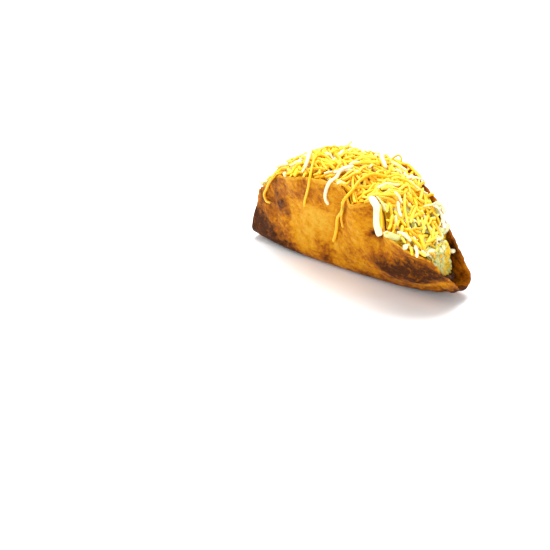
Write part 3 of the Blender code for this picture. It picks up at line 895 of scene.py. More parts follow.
@dataclass
class Layer:
    """One packed layer of the filling, between the walls: rings across the fold."""

    sheet: Sheet
    name: str
    reach: tuple[float, float]
    low: float
    top: float
    dome: tuple[float, ...]
    rise: float
    sink: float = 0.0
    lumps: float = 0.0009
    stations: int = 70
    cells: int = 28

    def roof(self, p: Array, u: Array) -> Array:
        """The layer's top, without lumps: u runs from 0 at the near wall to 1 at the far one.

        Args:
            p: places along the fold, in metres.
            u: shares across the mouth.

        Returns:
            Places in space.
        """
        near, far = self.sheet.wall(p, -1.0, self.top), self.sheet.wall(p, 1.0, self.top)
        point = near + (far - near) * u[..., None]
        arch = 4.0 * u * (1.0 - u)
        height = self.rise * along_fold(self.dome, p / self.sheet.radius) * arch**0.75 - self.sink * arch**0.5
        return point + height[..., None] * np.array([0.0, 0.0, 1.0])

    def make(self, finish: bpy.types.Material, tone: float) -> bpy.types.Object:
        """Builds the layer as one closed mesh with its tone.

        Args:
            finish: its material.
            tone: the tone of all of it.

        Returns:
            The layer's object.
        """
        shares = np.linspace(*self.reach, self.stations)
        u = np.linspace(0.0, 1.0, self.cells + 1)
        rings = []
        for share in shares:
            p = np.full_like(u, share * self.sheet.radius)
            top = self.roof(p, u)
            reach_far, reach_near = self.sheet.reach(p[0], 1.0), self.sheet.reach(p[0], -1.0)
            climb = np.linspace(self.low, self.top, 9)[:-1]
            if self.low <= 0.0:
                s = np.concatenate([-reach_near * climb[:0:-1], [0.0], reach_far * climb[1:]])
            else:
                s = np.concatenate([-reach_near * climb[::-1], reach_far * climb])
            under = self.sheet.beside(p[0], s, -self.sheet.thickness - 0.0010)
            rings.append(np.concatenate([under, top[::-1]]))
        rings = np.array(rings)
        noise = value_noise(rings, 0.004, 31) + 0.6 * value_noise(rings, 0.0018, 32)
        under_count = rings.shape[1] - len(u)
        rings[:, under_count:, 2] += self.lumps * noise[:, under_count:]
        for end, outward in ((0, -1.0), (-1, 1.0)):
            ring = rings[end]
            middle = ring.mean(axis=0)
            caps = []
            for k in (1, 2, 3):
                shrunk = middle + (ring - middle) * (1.0 - 0.08 * k * k)
                shrunk[:, 0] = ring[:, 0] + outward * 0.0006 * k
                shrunk[:, 0] += outward * 0.0007 * value_noise(shrunk, 0.003, 33 + k)
                caps.append(shrunk)
            rings = np.concatenate([caps[::-1], rings]) if end == 0 else np.concatenate([rings, caps])
        count = rings.shape[1]
        index = np.arange(rings.shape[0] * count).reshape(rings.shape[0], count)
        turned = np.roll(index, -1, axis=1)
        faces = np.stack([index[:-1], index[1:], turned[1:], turned[:-1]], axis=-1).reshape(-1, 4).tolist()
        mesh = bpy.data.meshes.new(self.name)
        mesh.from_pydata(rings.reshape(-1, 3).tolist(), [], [*faces, index[0].tolist(), index[-1][::-1].tolist()])
        mesh.attributes.new("tone", "FLOAT", "POINT").data.foreach_set(
            "value", np.full(rings.shape[0] * count, tone, np.float32)
        )
        bm = bmesh.new()
        bm.from_mesh(mesh)
        bmesh.ops.recalc_face_normals(bm, faces=bm.faces)
        bmesh.ops.triangulate(bm, faces=[face for face in bm.faces if len(face.verts) > 4])
        bm.to_mesh(mesh)
        bm.free()
        mesh.shade_smooth()
        mesh.materials.append(finish)
        return put(self.name, mesh)


@dataclass
class HeapField:
    """The height of what has been laid so far, on a grid seen from above."""

    low: tuple[float, float] = (-0.086, -0.056)
    high: tuple[float, float] = (0.086, 0.046)
    pitch: float = 0.0005
    height: Array = field(init=False)

    def __post_init__(self) -> None:
        """Starts with empty ground."""
        size = [round((b - a) / self.pitch) + 1 for a, b in zip(self.low, self.high)]
        self.height = np.full(size, -0.001)

    def cells(self, points: Array) -> tuple[Array, Array]:
        """Grid indices of places.

        Args:
            points: places in space.

        Returns:
            Rows and columns.
        """
        i = np.clip(np.round((points[..., 0] - self.low[0]) / self.pitch).astype(int), 0, self.height.shape[0] - 1)
        j = np.clip(np.round((points[..., 1] - self.low[1]) / self.pitch).astype(int), 0, self.height.shape[1] - 1)
        return i, j

    def cover(self, points: Array) -> None:
        """Raises the field to the given places.

        Args:
            points: places in space.
        """
        points = points.reshape(-1, 3)
        i, j = self.cells(points)
        np.maximum.at(self.height, (i, j), points[:, 2])

    def fill_gaps(self) -> None:
        """Closes single empty cells left by sparse places."""
        h = self.height
        around = np.stack([np.roll(h, shift, axis) for axis in (0, 1) for shift in (-1, 1)])
        self.height = np.where(h < 0.0, np.sort(around, axis=0)[-2], h)

    def under(self, points: Array, radius: float) -> Array:
        """The highest ground below each place, within a radius.

        Args:
            points: places in space.
            radius: how far round each it looks, in metres.

        Returns:
            Heights.
        """
        i, j = self.cells(points)
        reach = max(1, round(radius / self.pitch))
        best = np.full(len(points), -1.0)
        for di in range(-reach, reach + 1):
            for dj in range(-reach, reach + 1):
                if di * di + dj * dj > reach * reach + 1:
                    continue
                ii = np.clip(i + di, 0, self.height.shape[0] - 1)
                jj = np.clip(j + dj, 0, self.height.shape[1] - 1)
                best = np.maximum(best, self.height[ii, jj])
        return best

    def lay(self, points: Array, radius: float, top: float) -> None:
        """Adds a strip's own height to the field.

        Args:
            points: the strip's path.
            radius: half its width.
            top: how far it rises over its path.
        """
        steps = np.arange(-2, 3) * self.pitch
        for dx in steps:
            for dy in steps:
                if math.hypot(dx, dy) > radius:
                    continue
                moved = points + np.array([dx, dy, top * math.sqrt(max(0.0, 1.0 - (math.hypot(dx, dy) / radius) ** 2))])
                self.cover(moved)


@dataclass(frozen=True)
class Cut:
    """How one kind of shred is cut and laid."""

    kind: Kind
    width: float
    thickness: float
    length: tuple[float, float]
    bend: float
    wave: float
    tone: tuple[float, float]


CUTS = {
    Kind.LETTUCE: Cut(Kind.LETTUCE, 0.0034, 0.0009, (0.012, 0.030), 22.0, 0.0010, (0.10, 0.70)),
    Kind.CHEDDAR: Cut(Kind.CHEDDAR, 0.0019, 0.0015, (0.018, 0.044), 26.0, 0.0002, (0.15, 0.95)),
    Kind.WHITE: Cut(Kind.WHITE, 0.0019, 0.0014, (0.014, 0.036), 28.0, 0.0002, (0.30, 1.0)),
}


@dataclass(frozen=True)
class FillingEnd:
    """An end of the filling: where along the fold, how tall a wall is there, and the lowest share of it."""

    place: float
    tall: float
    low: float


@dataclass
class Heap:
    """The loose shreds: laid one by one over the mouth, each bridging what lies under it, and down both ends."""

    sheet: Sheet
    roof: Layer
    depth: float = 0.0070
    headroom: float = 0.0012
    end_drop: tuple[float, float] = (0.765, 0.835)
    end_floor: float = 0.021
    open_end: FillingEnd = FillingEnd(0.0585, 0.052, 0.40)
    closed_end: FillingEnd = FillingEnd(-0.0655, 0.036, 0.56)
    tries: int = 3600
    white_share: float = 0.20
    white_until: float = 0.010
    steepest: float = 3.2
    step: float = 0.0014
    seed: int = 17
    shreds: list[Shred] = field(default_factory=list)
    rims: list[tuple[float, float]] = field(default_factory=list)

    def ground(self) -> HeapField:
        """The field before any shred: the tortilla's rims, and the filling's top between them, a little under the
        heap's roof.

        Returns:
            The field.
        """
        found = HeapField()
        p = np.linspace(-0.9999, 0.9999, 330)[:, None] * self.sheet.radius
        share = np.linspace(0.0, 1.0, 170)[None, :]
        for side in (-1.0, 1.0):
            s = side * self.sheet.reach(np.broadcast_to(p, (330, 170)), side) * share
            for out in (0.0, -self.sheet.thickness):
                found.cover(self.sheet.beside(np.broadcast_to(p, s.shape), s, out))
        found.cover(self.surface(-self.depth))
        found.fill_gaps()
        return found

    def ceiling(self) -> HeapField:
        """How high the shreds may lie: a little over the heap's surface, and over the rims.

        Returns:
            The field.
        """
        found = HeapField()
        found.cover(self.surface(self.headroom))
        p = np.linspace(-0.97, 0.97, 500) * self.sheet.radius
        for side in (-1.0, 1.0):
            for up in np.linspace(0.90, 1.0, 12):
                rim = self.sheet.beside(p, side * self.sheet.reach(p, side) * up, -self.sheet.thickness / 2)
                found.cover(rim + np.array([0.0, 0.0, 0.0020]))
        found.fill_gaps()
        return found

    def surface(self, raised: float) -> Array:
        """Places over the mouth, raised most at its middle, falling away at the open end.

        Args:
            raised: how far over the heap's roof at the middle, in metres.

        Returns:
            Places in space.
        """
        p = np.broadcast_to(np.linspace(-0.90, self.end_drop[1] + 0.01, 300)[:, None], (300, 170)) * self.sheet.radius
        u = np.broadcast_to(np.linspace(0.0, 1.0, 170)[None, :], p.shape)
        places = self.roof.roof(p, u)
        places[..., 2] += raised * np.sqrt(4.0 * u * (1.0 - u))
        drop = smooth_step((p / self.sheet.radius - self.end_drop[0]) / (self.end_drop[1] - self.end_drop[0]))
        places[..., 2] += (self.end_floor - places[..., 2]) * drop * (places[..., 2] > self.end_floor)
        return places

    def edges(self, x: float) -> tuple[float, float]:
        """The two rims' y at x.

        Args:
            x: a place along the fold.

        Returns:
            The near rim's y and the far one's.
        """
        share = min(max(x / self.sheet.radius, -0.97), 0.97)
        key = round((share + 0.97) / 1.94 * 96)
        return self.rims[key]

    def rim_table(self) -> list[tuple[float, float]]:
        """The rims' y at even places along the fold.

        Returns:
            Pairs of the near rim's y and the far one's.
        """
        p = np.linspace(-0.97, 0.97, 97) * self.sheet.radius
        rows = [self.sheet.beside(p, side * self.sheet.reach(p, side) * 0.985, -0.001)[:, 1] for side in (-1.0, 1.0)]
        return list(zip(rows[0].tolist(), rows[1].tolist()))

    def draped(self, found: HeapField, flat: Array, cut: Cut, stiff: int) -> Array:
        """A flat path dropped on the field, bridging dips by its stiffness.

        Args:
            found: the field it falls on.
            flat: the path, whose heights are replaced.
            cut: its kind.
            stiff: how many times its sag is evened out.

        Returns:
            The path as it lies.
        """
        half = cut.thickness / 2
        floor = found.under(flat, cut.width * 0.36) + half * 0.6
        z = floor.copy()
        for _ in range(stiff):
            padded = np.concatenate([z[:1], z, z[-1:]])
            z = np.maximum(floor, 0.25 * padded[:-2] + 0.5 * z + 0.25 * padded[2:])
        flat[:, 2] = z
        return flat

    def start(
        self,
        found: HeapField,
        top: HeapField,
        rng: random.Random,
        where: tuple[float, float],
        spread: float,
    ) -> tuple[float, float, float]:
        """Draws a few places to start a shred from.

        Args:
            found: the field so far.
            top: how high shreds may lie.
            rng: the draw.
            where: the shares along the fold it may start between.
            spread: how evenly across the mouth it may start, 1 for all of it.

        Returns:
            The most room found above the field, and that place's x and y.
        """
        best = (-math.inf, 0.0, 0.0)
        for _ in range(5):
            x = rng.uniform(*where) * self.sheet.radius
            near, far = self.edges(x)
            y = (near + far) / 2 + (far - near) / 2 * spread * rng.uniform(-1.0, 1.0)
            i, j = found.cells(np.array([x, y]))
            room = float(top.height[i, j] - found.height[i, j])
            if room > best[0]:
                best = (room, x, y)
        return best

    def scatter(
        self,
        found: HeapField,
        top: HeapField,
        cut: Cut,
        rng: random.Random,
        where: tuple[float, float],
        spread: float,
    ) -> bool:
        """Lays one shred.

        Args:
            found: the field, which is raised.
            top: how high shreds may lie.
            cut: the shred's kind.
            rng: the draw.
            where: the shares along the fold it may start between.
            spread: how evenly across the mouth it may start, 1 for all of it.

        Returns:
            Whether there was room for it.
        """
        room, x, y = self.start(found, top, rng, where, spread)
        if room < cut.thickness * 0.4:
            return False
        heading = rng.uniform(0.0, 2.0 * math.pi)
        length = rng.uniform(*cut.length)
        bend = rng.gauss(0.0, cut.bend)
        phase, wave = rng.uniform(0.0, 6.3), cut.wave * rng.uniform(0.4, 1.4)
        points = []
        for k in range(int(length / self.step) + 1):
            near, far = self.edges(x)
            if not near - 0.0026 < y < far + 0.0026 or not -0.93 < x / self.sheet.radius < 0.86:
                break
            sway = wave * math.sin(k * 0.75 + phase)
            points.append((x - math.sin(heading) * sway, y + math.cos(heading) * sway, 0.0))
            heading += bend * self.step + rng.gauss(0.0, 0.05)
            x += math.cos(heading) * self.step
            y += math.sin(heading) * self.step
        if len(points) < 6:
            return False
        placed = self.draped(found, np.array(points), cut, rng.choice((2, 4, 8, 14)))
        over = placed[:, 2] > top.under(placed, 0.0012)
        if over.any():
            placed = placed[: int(np.argmax(over))]
            if len(placed) < 7:
                return False
        steep = np.abs(np.diff(placed[:, 2])) > self.step * self.steepest
        if steep.any():
            placed = placed[: int(np.argmax(steep)) + 1]
            if len(placed) < 6:
                return False
        self.shreds.append(self.strip(cut, placed, rng))
        found.lay(placed, cut.width / 2, cut.thickness * 0.26)
        return True

    def strip(
        self, cut: Cut, points: Array, rng: random.Random, tone: float | None = None, girth: float = 1.0
    ) -> Shred:
        """A shred along a path, thinner at its ends.

        Args:
            cut: its kind.
            points: its path.
            rng: the draw.
            tone: its tone, drawn if there is none.
            girth: its width beside the usual.

        Returns:
            The shred.
        """
        count = len(points)
        ends = np.minimum(np.arange(count), np.arange(count)[::-1]) / 2.0
        size = girth * rng.uniform(0.80, 1.16) * (0.55 + 0.45 * smooth_step(ends + 0.3))
        turns = rng.gauss(0.0, 0.9) + np.linspace(0.0, rng.gauss(0.0, 1.4), count)
        return Shred(cut.kind, points, size, turns, rng.uniform(*cut.tone) if tone is None else tone)

    def over(
        self,
        found: HeapField,
        cut: Cut,
        heap: Places,
        wall: Places,
        tone: float,
        girth: float = 1.0,
    ) -> None:
        """A shred through listed places, over the heap and then on down a wall.

        Args:
            found: the field it lies on.
            cut: its kind.
            heap: x, y and lift on the heap, in millimetres.
            wall: p, s and distance out from the wall, in millimetres.
            tone: its tone.
            girth: its width beside the usual.
        """
        rows = np.array(heap, float).reshape(-1, 3) / 1000.0
        rows[:, 2] += found.under(rows, 0.0008) + cut.thickness * 0.45
        walls = np.array(wall, float).reshape(-1, 3) / 1000.0
        places = [rows, self.sheet.beside(walls[:, 0], walls[:, 1], walls[:, 2])] if len(wall) else [rows]
        self.placed(cut, np.concatenate(places), random.Random(len(self.shreds)), tone, girth)

    def placed(self, cut: Cut, places: Array, rng: random.Random, tone: float, girth: float) -> None:
        """A shred through given places, on a smooth curve.

        Args:
            cut: its kind.
            places: what it runs through.
            rng: the draw.
            tone: its tone.
            girth: its width beside the usual.
        """
        steps = np.linspace(0.0, 1.0, 7)[:-1]
        padded = np.concatenate([2 * places[:1] - places[1:2], places, 2 * places[-1:] - places[-2:-1]])
        points = []
        for k in range(len(places) - 1):
            a, b, c, d = padded[k : k + 4]
            for t in steps:
                points.append(b + 0.5 * t * (c - a + t * (2 * a - 5 * b + 4 * c - d + t * (3 * (b - c) + d - a))))
        points.append(places[-1])
        self.shreds.append(self.strip(cut, np.array(points), rng, tone, girth))

    def face(self, cut: Cut, rng: random.Random, start: tuple[float, float], end: FillingEnd) -> None:
        """One shred down an end of the filling.

        Args:
            cut: its kind.
            rng: the draw.
            start: the shares up the walls it may start between.
            end: which end.
        """
        steps = np.arange(int(rng.uniform(0.010, 0.026) / self.step))
        share = rng.uniform(*start) - steps * self.step / end.tall
        u = rng.uniform(0.03, 0.97) + rng.gauss(0.0, 0.8) * steps * self.step / (0.42 * end.tall)
        bulge, phase = rng.uniform(0.0004, 0.0032), rng.uniform(0.0, 6.3)
        p = end.place + math.copysign(1.0, end.place) * (bulge + 0.0008 * np.sin(0.9 * steps + phase))
        keep = (share > end.low) & (u > 0.03) & (u < 0.97)
        if keep.sum() < 6 or not keep[: keep.sum()].all():
            return
        first, last = self.sheet.wall(p, -1.0, share, 0.0018), self.sheet.wall(p, 1.0, share, 0.0018)
        points = (first + (last - first) * u[:, None])[keep]
        self.shreds.append(self.strip(cut, points, rng))

    def slope(self, cut: Cut, rng: random.Random) -> None:
        """One shred on the heap's steep slope at the closed end.

        Args:
            cut: its kind.
            rng: the draw.
        """
        steps = np.arange(int(rng.uniform(0.012, 0.026) / self.step))
        heading = rng.gauss(0.0, 0.8)
        share = rng.uniform(0.60, 0.80) + math.cos(heading) * steps * self.step * 0.62 / self.sheet.radius
        sideways = math.sin(heading) * steps + 0.4 * np.sin(0.7 * steps)
        u = rng.uniform(0.06, 0.94) + sideways * self.step / 0.020
        keep = (share < 0.885) & (u > 0.05) & (u < 0.95)
        if keep.sum() < 6 or not keep[: keep.sum()].all():
            return
        points = self.roof.roof(-share[keep] * self.sheet.radius, u[keep])
        points[:, 2] -= rng.uniform(0.0002, 0.0032)
        self.shreds.append(self.strip(cut, points, rng))

    def build(self) -> None:
        """Lays every shred: lettuce first, then both ends, then the cheeses, then those listed one by one."""
        self.rims = self.rim_table()
        rng = random.Random(self.seed)
        found, top = self.ground(), self.ceiling()
        leaf, yellow, cream = CUTS[Kind.LETTUCE], CUTS[Kind.CHEDDAR], CUTS[Kind.WHITE]
        for _ in range(34):
            self.scatter(found, top, leaf, rng, (-0.85, 0.80), 1.0)
        for _ in range(14):
            self.scatter(found, top, leaf, rng, (0.45, 0.80), 1.0)
        for k in range(130):
            self.face((yellow, yellow, leaf, yellow, cream)[k % 5], rng, (0.70, 0.97), self.open_end)
        ends = random.Random(self.seed + 1)
        for k in range(190):
            self.face((yellow, leaf, yellow, yellow, leaf)[k % 5], ends, (0.50, 0.97), self.open_end)
        for k in range(120):
            self.face((yellow, leaf, yellow, cream, leaf)[k % 5], ends, (0.70, 1.0), self.closed_end)
        for k in range(150):
            self.slope((yellow, yellow, cream, yellow, leaf)[k % 5], ends)
        laid = 0
        for k in range(self.tries):
            cut = cream if rng.random() < self.white_share else yellow
            done = self.scatter(found, top, cut, rng, (-0.90, 0.80), 0.98)
            laid += done
            # about two white shreds in three turn yellow towards the open end
            if done and cut is cream and k % 3 and self.shreds[-1].points[0, 0] > self.white_until:
                self.shreds[-1].kind = Kind.CHEDDAR
        highest = max(shred.points[:, 2].max() for shred in self.shreds)
        LOG.info("laid %d shreds of cheese, top at %.1f mm", laid, 1000 * highest)
        self.by_hand(found, leaf, yellow, cream)

    def by_hand(self, found: HeapField, leaf: Cut, yellow: Cut, cream: Cut) -> None:
        """The shreds that catch the eye, as they lie on the real one, over both rims.

        Args:
            found: the field with all the others on it.
            leaf: how lettuce is cut.
            yellow: how cheddar is cut.
            cream: how white cheese is cut.
        """
        over = self.over
        # the thick white one at the top left, and the yellow one down the left lobe
        over(found, cream, [(-32, -6, 1), (-28.5, -12.5, 0.6), (-25.5, -19, 0.4), (-24.6, -23, 0.6)], [], 0.9, 1.45)
        over(found, yellow, [(-22, -14, 0), (-20.8, -19.9, 0.2)],
             [(-17.2, -78.6, -0.4), (-19, -70.3, 1.2), (-21.8, -64, 1.2), (-23.7, -59.3, 1.2), (-25, -54, 1.2)],
             0.4, 0.85)
        # the curved white one over the near rim
        over(found, cream, [(3, -14, 0), (-1.2, -19.8, 0.2), (-2.2, -24, 0.3)],
             [(-2.6, -80.6, -0.3), (-4.6, -76.4, 1.2), (-6.7, -70.7, 1.2), (-7.3, -66.5, 1.2), (-6.4, -62.6, 1.2)],
             0.95)
        # the long yellow one down the crease, and its branch
        over(found, yellow, [(20, -4, 0), (13.5, -10.4, 0.2), (11.8, -21, 0.3), (11.4, -27, 0.5)],
             [(10.2, -75, 1.0), (7.4, -67.4, 1.8), (3, -59.6, 1.5), (-1.3, -53.6, 1.3), (-3.8, -43.3, 1.3),
              (-8.2, -31.9, 1.2)], 0.35, 0.88)
        over(found, yellow, [],
             [(8.6, -70, 1.9), (5.6, -63.5, 1.5), (2.7, -56.3, 1.3), (3.2, -53, 1.3), (4.5, -50.2, 1.3)], 0.3, 0.75)
        # the wide pale one over the tab, and what lies beside it
        over(found, cream, [(24.5, -29.5, 0.2)],
             [(27.6, -75.4, 0.4), (31.5, -72.6, 1.8), (35.5, -70.0, 1.8), (39.0, -66.8, 1.6)], 1.0, 2.3)
        over(found, leaf, [(27, -27, 0.3), (31, -29.6, 0.4), (35, -31, 0.4)], [], 0.2, 0.8)
        over(found, cream, [(36.6, -19.6, 0.2), (38.6, -21.6, 0.4), (41.5, -23.9, 0.3)], [], 0.9, 1.2)
        # the yellow curl at the closed end, and the white one above it
        over(found, yellow, [(-41, -16.5, 0), (-46, -15, 0.4)],
             [(-51, -60.6, 0.2), (-55.6, -53, 1.2), (-59.4, -46.6, 1.2), (-62.4, -40.4, 1.2), (-60.5, -37, 1.2),
              (-57, -38, 1.2)], 0.3)
        over(found, cream, [(-58, -4, 0.3), (-51, -9, 0.4), (-43.5, -13.4, 0.4)], [], 0.8, 1.1)
        # the loop over the far rim, the white one before it, and the upright end at the top
        over(found, yellow, [(5, 20, 0), (6.8, 23.4, 0.6), (7.6, 25.4, 2.6), (9.4, 27, 4.6), (11.4, 27, 4.4),
                             (12.4, 25.8, 2.6), (10.8, 24.6, 1.2), (8.4, 24.2, 0.8)], [], 0.25, 0.9)
        over(found, cream, [(3, 19, 0.2), (5.6, 14.4, 0.4), (8.2, 10, 0.4), (13.4, 5.6, 0.2)], [], 1.0, 1.5)
        over(found, yellow, [(-13, 2, 0), (-12.4, 4.4, 0.8), (-12.2, 6.4, 2.2), (-11.6, 8, 3.6)], [], 0.8, 0.6)
        # the leaf strips at the far rim
        over(found, leaf, [(43.3, -1.5, 0.5), (45.4, 4, 0.8), (46.6, 8.6, 1.6)],
             [(48.4, 54.8, -0.6), (50.6, 50.5, 1.1)], 0.0, 0.7)
        over(found, leaf, [(46, 5.4, 1.2), (49, 7.2, 1.2), (52, 5.6, 1.0), (55.1, -2.3, 0.6)], [], 0.05, 0.6)
        over(found, leaf, [(47.8, 8, 1.4), (51, 7.4, 1.2), (54.4, 4.6, 0.9), (56.3, 1.7, 0.5)], [], 0.0, 0.55)
        # the short white one against the far wall, and those along the near rim
        over(found, cream, [], [(56.6, 28.4, -4.6), (59.4, 28.4, -3.6), (62.2, 29, -3.0), (64.4, 29.6, -2.9)], 1.0, 1.7)
        over(found, cream, [(43.7, -31.6, 0.4), (48.2, -31, 0.5), (51.8, -29.8, 0.4)], [], 0.9, 1.25)
        over(found, yellow, [(53, -22, 0.3), (56.7, -25.6, 0.5), (60.2, -28.6, 0.3)], [], 0.5, 1.1)
        over(found, cream, [(59.4, -30, 0.4), (60.6, -26.6, 0.5), (60.6, -20, 0.4), (60, -15, 0.2)], [], 0.9, 1.2)
        # those that hang over the far rim
        for start, drop, drift, tone, cut in (
            (-40, 15, -5, 0.5, yellow), (-24, 22, 5, 0.9, cream), (-4, 12, -4, 0.3, yellow),
            (16, 23, 7, 0.6, yellow), (31, 11, 4, 0.8, cream), (-54, 10, -4, 0.4, yellow),
        ):
            edge = 1000 * float(self.sheet.reach(np.array(start / 1000.0), 1.0))
            over(found, cut, [],
                 [(start - 2, edge + 1.6, -7), (start - 1, edge + 1.8, -3.6), (start, edge + 1.0, 0.5),
                  (start + drift * 0.2, edge - drop * 0.35, 1.2), (start + drift * 0.55, edge - drop * 0.7, 1.2),
                  (start + drift, edge - drop, 1.2)], tone, 0.82)


@dataclass
class Beef:
    """Ground beef in the fold, with crumbles where it shows at both ends."""

    sheet: Sheet
    density: float = 420000.0
    crumb: float = 0.0024
    open_from: float = 0.046
    closed_from: float = 0.052
    fades_over: float = 0.006
    seed: int = 3

    def lump(self, finish: bpy.types.Material) -> bpy.types.Object:
        """One crumb, a rough pebble.

        Args:
            finish: its material.

        Returns:
            The crumb's object.
        """
        bm = bmesh.new()
        bmesh.ops.create_icosphere(bm, subdivisions=2, radius=1.0)
        spots = np.array([vert.co for vert in bm.verts])
        swell = 1.0 + 0.28 * value_noise(spots, 0.8, 41) + 0.12 * value_noise(spots, 0.35, 42)
        for vert, factor in zip(bm.verts, swell):
            vert.co *= float(factor)
        mesh = bpy.data.meshes.new("crumb")
        bm.to_mesh(mesh)
        bm.free()
        mesh.shade_smooth()
        mesh.materials.append(finish)
        return put("crumb", mesh)

    def tree(self, crumb: bpy.types.Object, finish: bpy.types.Material) -> bpy.types.GeometryNodeTree:
        """The node tree: crumbs spread over the core where it shows, realized and given the finish.

        Args:
            crumb: the crumb that is repeated.
            finish: its material.

        Returns:
            The tree, with its sizes as inputs.
        """
        tree = bpy.data.node_groups.new("crumbles", "GeometryNodeTree")
        face = tree.interface
        face.new_socket("Geometry", in_out="INPUT", socket_type="NodeSocketGeometry")
        for label in ("Density", "Crumb Size"):
            face.new_socket(label, in_out="INPUT", socket_type="NodeSocketFloat")
        face.new_socket("Geometry", in_out="OUTPUT", socket_type="NodeSocketGeometry")
        nodes, links = tree.nodes, tree.links
        source, sink = nodes.new("NodeGroupInput"), nodes.new("NodeGroupOutput")
        scatter = nodes.new("GeometryNodeDistributePointsOnFaces")
        scatter.inputs["Seed"].default_value = self.seed
        keep = nodes.new("GeometryNodeInputNamedAttribute")
        keep.data_type = "FLOAT"
        keep.inputs["Name"].default_value = "shows"
        weight = nodes.new("ShaderNodeMath")
        weight.operation = "MULTIPLY"
        info = nodes.new("GeometryNodeObjectInfo")
        info.inputs["Object"].default_value = crumb
        turn = nodes.new("FunctionNodeRandomValue")
        turn.data_type = "FLOAT_VECTOR"
        turn.inputs["Max"].default_value = (6.28, 6.28, 6.28)
        turn.inputs["Seed"].default_value = self.seed + 1
        grow = nodes.new("FunctionNodeRandomValue")
        grow.data_type = "FLOAT"
        grow.inputs[2].default_value = 0.55
        grow.inputs[3].default_value = 1.15
        grow.inputs["Seed"].default_value = self.seed + 2
        size = nodes.new("ShaderNodeMath")
        size.operation = "MULTIPLY"
        place = nodes.new("GeometryNodeInstanceOnPoints")
        both = nodes.new("GeometryNodeJoinGeometry")
        real = nodes.new("GeometryNodeRealizeInstances")
        paint = nodes.new("GeometryNodeSetMaterial")
        paint.inputs["Material"].default_value = finish
        links.new(source.outputs["Geometry"], scatter.inputs["Mesh"])
        links.new(source.outputs["Density"], weight.inputs[0])
        links.new(keep.outputs["Attribute"], weight.inputs[1])
        links.new(weight.outputs[0], scatter.inputs["Density"])
        links.new(scatter.outputs["Points"], place.inputs["Points"])
        links.new(info.outputs["Geometry"], place.inputs["Instance"])
        links.new(turn.outputs["Value"], place.inputs["Rotation"])
        links.new(source.outputs["Crumb Size"], size.inputs[0])
        links.new(grow.outputs[1], size.inputs[1])
        links.new(size.outputs[0], place.inputs["Scale"])
        links.new(place.outputs["Instances"], both.inputs["Geometry"])
        links.new(source.outputs["Geometry"], both.inputs["Geometry"])
        links.new(both.outputs["Geometry"], real.inputs["Geometry"])
        links.new(real.outputs["Geometry"], paint.inputs["Geometry"])
        links.new(paint.outputs["Geometry"], sink.inputs["Geometry"])
        return tree

    def read(self, mesh: bpy.types.Mesh, what: str) -> Array:
        """Reads the places or the normals of a mesh's points.

        Args:
            mesh: the mesh.
            what: co or normal.

        Returns:
            Three numbers for each point.
        """
        numbers = np.empty(len(mesh.vertices) * 3)
        mesh.vertices.foreach_get(what, numbers)
        return numbers.reshape(-1, 3)

    def make(self, finish: bpy.types.Material) -> bpy.types.Object:
        """Builds the beef and dresses it.

        Args:
            finish: its material.

        Returns:
            The finished piece.
        """
        core = Layer(self.sheet, "beef_core", (-0.83, 0.84), 0.0, 0.37, (1.0, 1.0, 1.0), 0.001, lumps=0.0012)
        body = core.make(finish, 0.5)
        x = self.read(body.data, "co")[:, 0]
        along, _, upward = self.read(body.data, "normal").T
        opening = smooth_step((x - self.open_from) / self.fades_over) * np.maximum(upward, along)
        closing = smooth_step((-x - self.closed_from) / self.fades_over) * np.maximum(upward, -along)
        shows = np.clip(np.maximum(opening, closing), 0.0, 1.0)
        body.data.attributes.new("shows", "FLOAT", "POINT").data.foreach_set("value", shows.astype(np.float32))
        crumb = self.lump(finish)
        tree = self.tree(crumb, finish)
        modifier = body.modifiers.new("crumbles", "NODES")
        modifier.node_group = tree
        values = {"Density": self.density, "Crumb Size": self.crumb / 2}
        for item in tree.interface.items_tree:
            if item.in_out == "INPUT" and item.name in values:
                modifier[item.identifier] = values[item.name]
        bpy.context.view_layer.update()
        graph = bpy.context.evaluated_depsgraph_get()
        made = bpy.data.meshes.new_from_object(body.evaluated_get(graph))
        bpy.data.objects.remove(body)
        bpy.data.objects.remove(crumb)
        made.name = "beef_crumbles"
        piece = put("beef_crumbles", made)
        join_into(piece, "beef")
        return piece


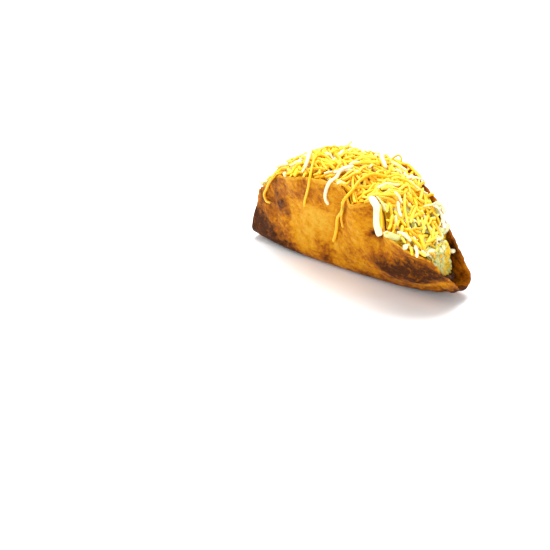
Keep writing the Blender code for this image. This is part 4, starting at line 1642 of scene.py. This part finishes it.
@dataclass(frozen=True)
class Studio:
    """A pale floor, soft light all round, and the camera at the photograph's angle."""

    camera_at: tuple[float, float, float] = (0.41659665, -0.70203396, 0.44086405)
    looking: tuple[float, float, float] = (-0.49327589, 0.72420095, -0.48188367)
    lens: float = 99.215
    floor_half: float = 3.0
    world_light: float = 0.75

    def camera(self) -> None:
        """Adds the camera."""
        data = bpy.data.cameras.new("photograph")
        data.lens = self.lens
        data.sensor_width = 36.0
        data.clip_start = 0.01
        eye = bpy.data.objects.new("photograph", data)
        eye.location = self.camera_at
        eye.rotation_euler = Vector(self.looking).to_track_quat("-Z", "Y").to_euler()
        bpy.context.scene.collection.objects.link(eye)
        bpy.context.scene.camera = eye

    def soft_box(self, name: str, at: tuple[float, float, float], size: float, power: float) -> None:
        """Adds one square light aimed at the food.

        Args:
            name: the light's name.
            at: where it hangs.
            size: its side in metres.
            power: its power in watts.
        """
        data = bpy.data.lights.new(name, "AREA")
        data.shape = "SQUARE"
        data.size = size
        data.energy = power
        lamp = bpy.data.objects.new(name, data)
        lamp.location = at
        lamp.rotation_euler = (Vector((0.0, 0.0, 0.03)) - Vector(at)).to_track_quat("-Z", "Y").to_euler()
        bpy.context.scene.collection.objects.link(lamp)

    def floor(self, finish: bpy.types.Material) -> None:
        """Adds the floor, a wide flat sheet just under the food.

        Args:
            finish: its material.
        """
        bm = bmesh.new()
        line = np.linspace(-self.floor_half, self.floor_half, 41)
        rows = [[bm.verts.new((x, y, -0.0001)) for x in line] for y in line]
        for first, second in zip(rows, rows[1:]):
            for j in range(len(line) - 1):
                bm.faces.new((first[j], first[j + 1], second[j + 1], second[j]))
        mesh = bpy.data.meshes.new("studio_floor")
        bm.to_mesh(mesh)
        bm.free()
        mesh.materials.append(finish)
        put("studio_floor", mesh)

    def make(self, finish: bpy.types.Material) -> None:
        """Sets the whole stage.

        Args:
            finish: the floor's material.
        """
        self.camera()
        self.floor(finish)
        self.soft_box("top light", (-0.15, 0.20, 0.95), 0.7, 14.0)
        self.soft_box("front fill", (0.55, -0.95, 0.60), 0.7, 3.5)
        self.soft_box("left light", (-0.85, -0.35, 0.60), 0.6, 3.0)
        world = bpy.data.worlds.new("studio")
        bpy.context.scene.world = world
        world.use_nodes = True
        sky = world.node_tree.nodes["Background"]
        sky.inputs["Color"].default_value = (1.0, 1.0, 1.0, 1.0)
        sky.inputs["Strength"].default_value = self.world_light
        bpy.context.scene.view_settings.view_transform = "Standard"


def main() -> None:
    """Builds the taco's pieces in order and reports each."""
    logging.basicConfig(level=logging.INFO, format="%(message)s")
    sheet = Sheet()
    Studio().make(Backdrop().make())
    leaf = Leaf().make()
    yellow = Grated(
        "grated cheddar", (0.95, 0.40, 0.004), (1.0, 0.55, 0.010), (1.0, 0.70, 0.07), (1.0, 0.6, 0.08)
    ).make()
    cream = Grated(
        "grated white cheese", (0.88, 0.68, 0.30), (0.90, 0.75, 0.42), (0.92, 0.82, 0.56), (1.0, 0.85, 0.5)
    ).make()
    Tortilla(sheet).make(FriedCorn().make())
    Beef(sheet).make(Browned().make())
    dome = (0.35, 0.75, 1.0, 0.80, 0.42, 0.20, 0.15)
    roof = Layer(sheet, "roof", (-0.9, 0.8), 0.8, 0.975, dome, 0.0108)
    heap = Heap(sheet, roof)
    heap.build()
    lettuce = Layer(sheet, "lettuce_core", (-0.84, 0.755), 0.42, 0.80, dome, 0.0085, sink=0.004)
    cheese = Layer(sheet, "cheese_core", (-0.86, 0.755), 0.83, 0.955, dome, 0.0108, sink=0.0072)
    lettuce_core, cheese_core = lettuce.make(leaf, 0.35), cheese.make(yellow, 0.5)
    pieces = {
        Kind.LETTUCE: ("lettuce_strips", leaf, "lettuce", lettuce_core),
        Kind.CHEDDAR: ("cheddar_shreds", yellow, "cheese", cheese_core),
        Kind.WHITE: ("white_cheese_shreds", cream, "cheese", None),
    }
    for kind, (name, finish, node, core) in pieces.items():
        chosen = [shred for shred in heap.shreds if shred.kind is kind]
        maker = ShredMaker(name, CUTS[kind].width, CUTS[kind].thickness, finish)
        join_into(maker.make(chosen, core), node)


if __name__ == "__main__":
    main()
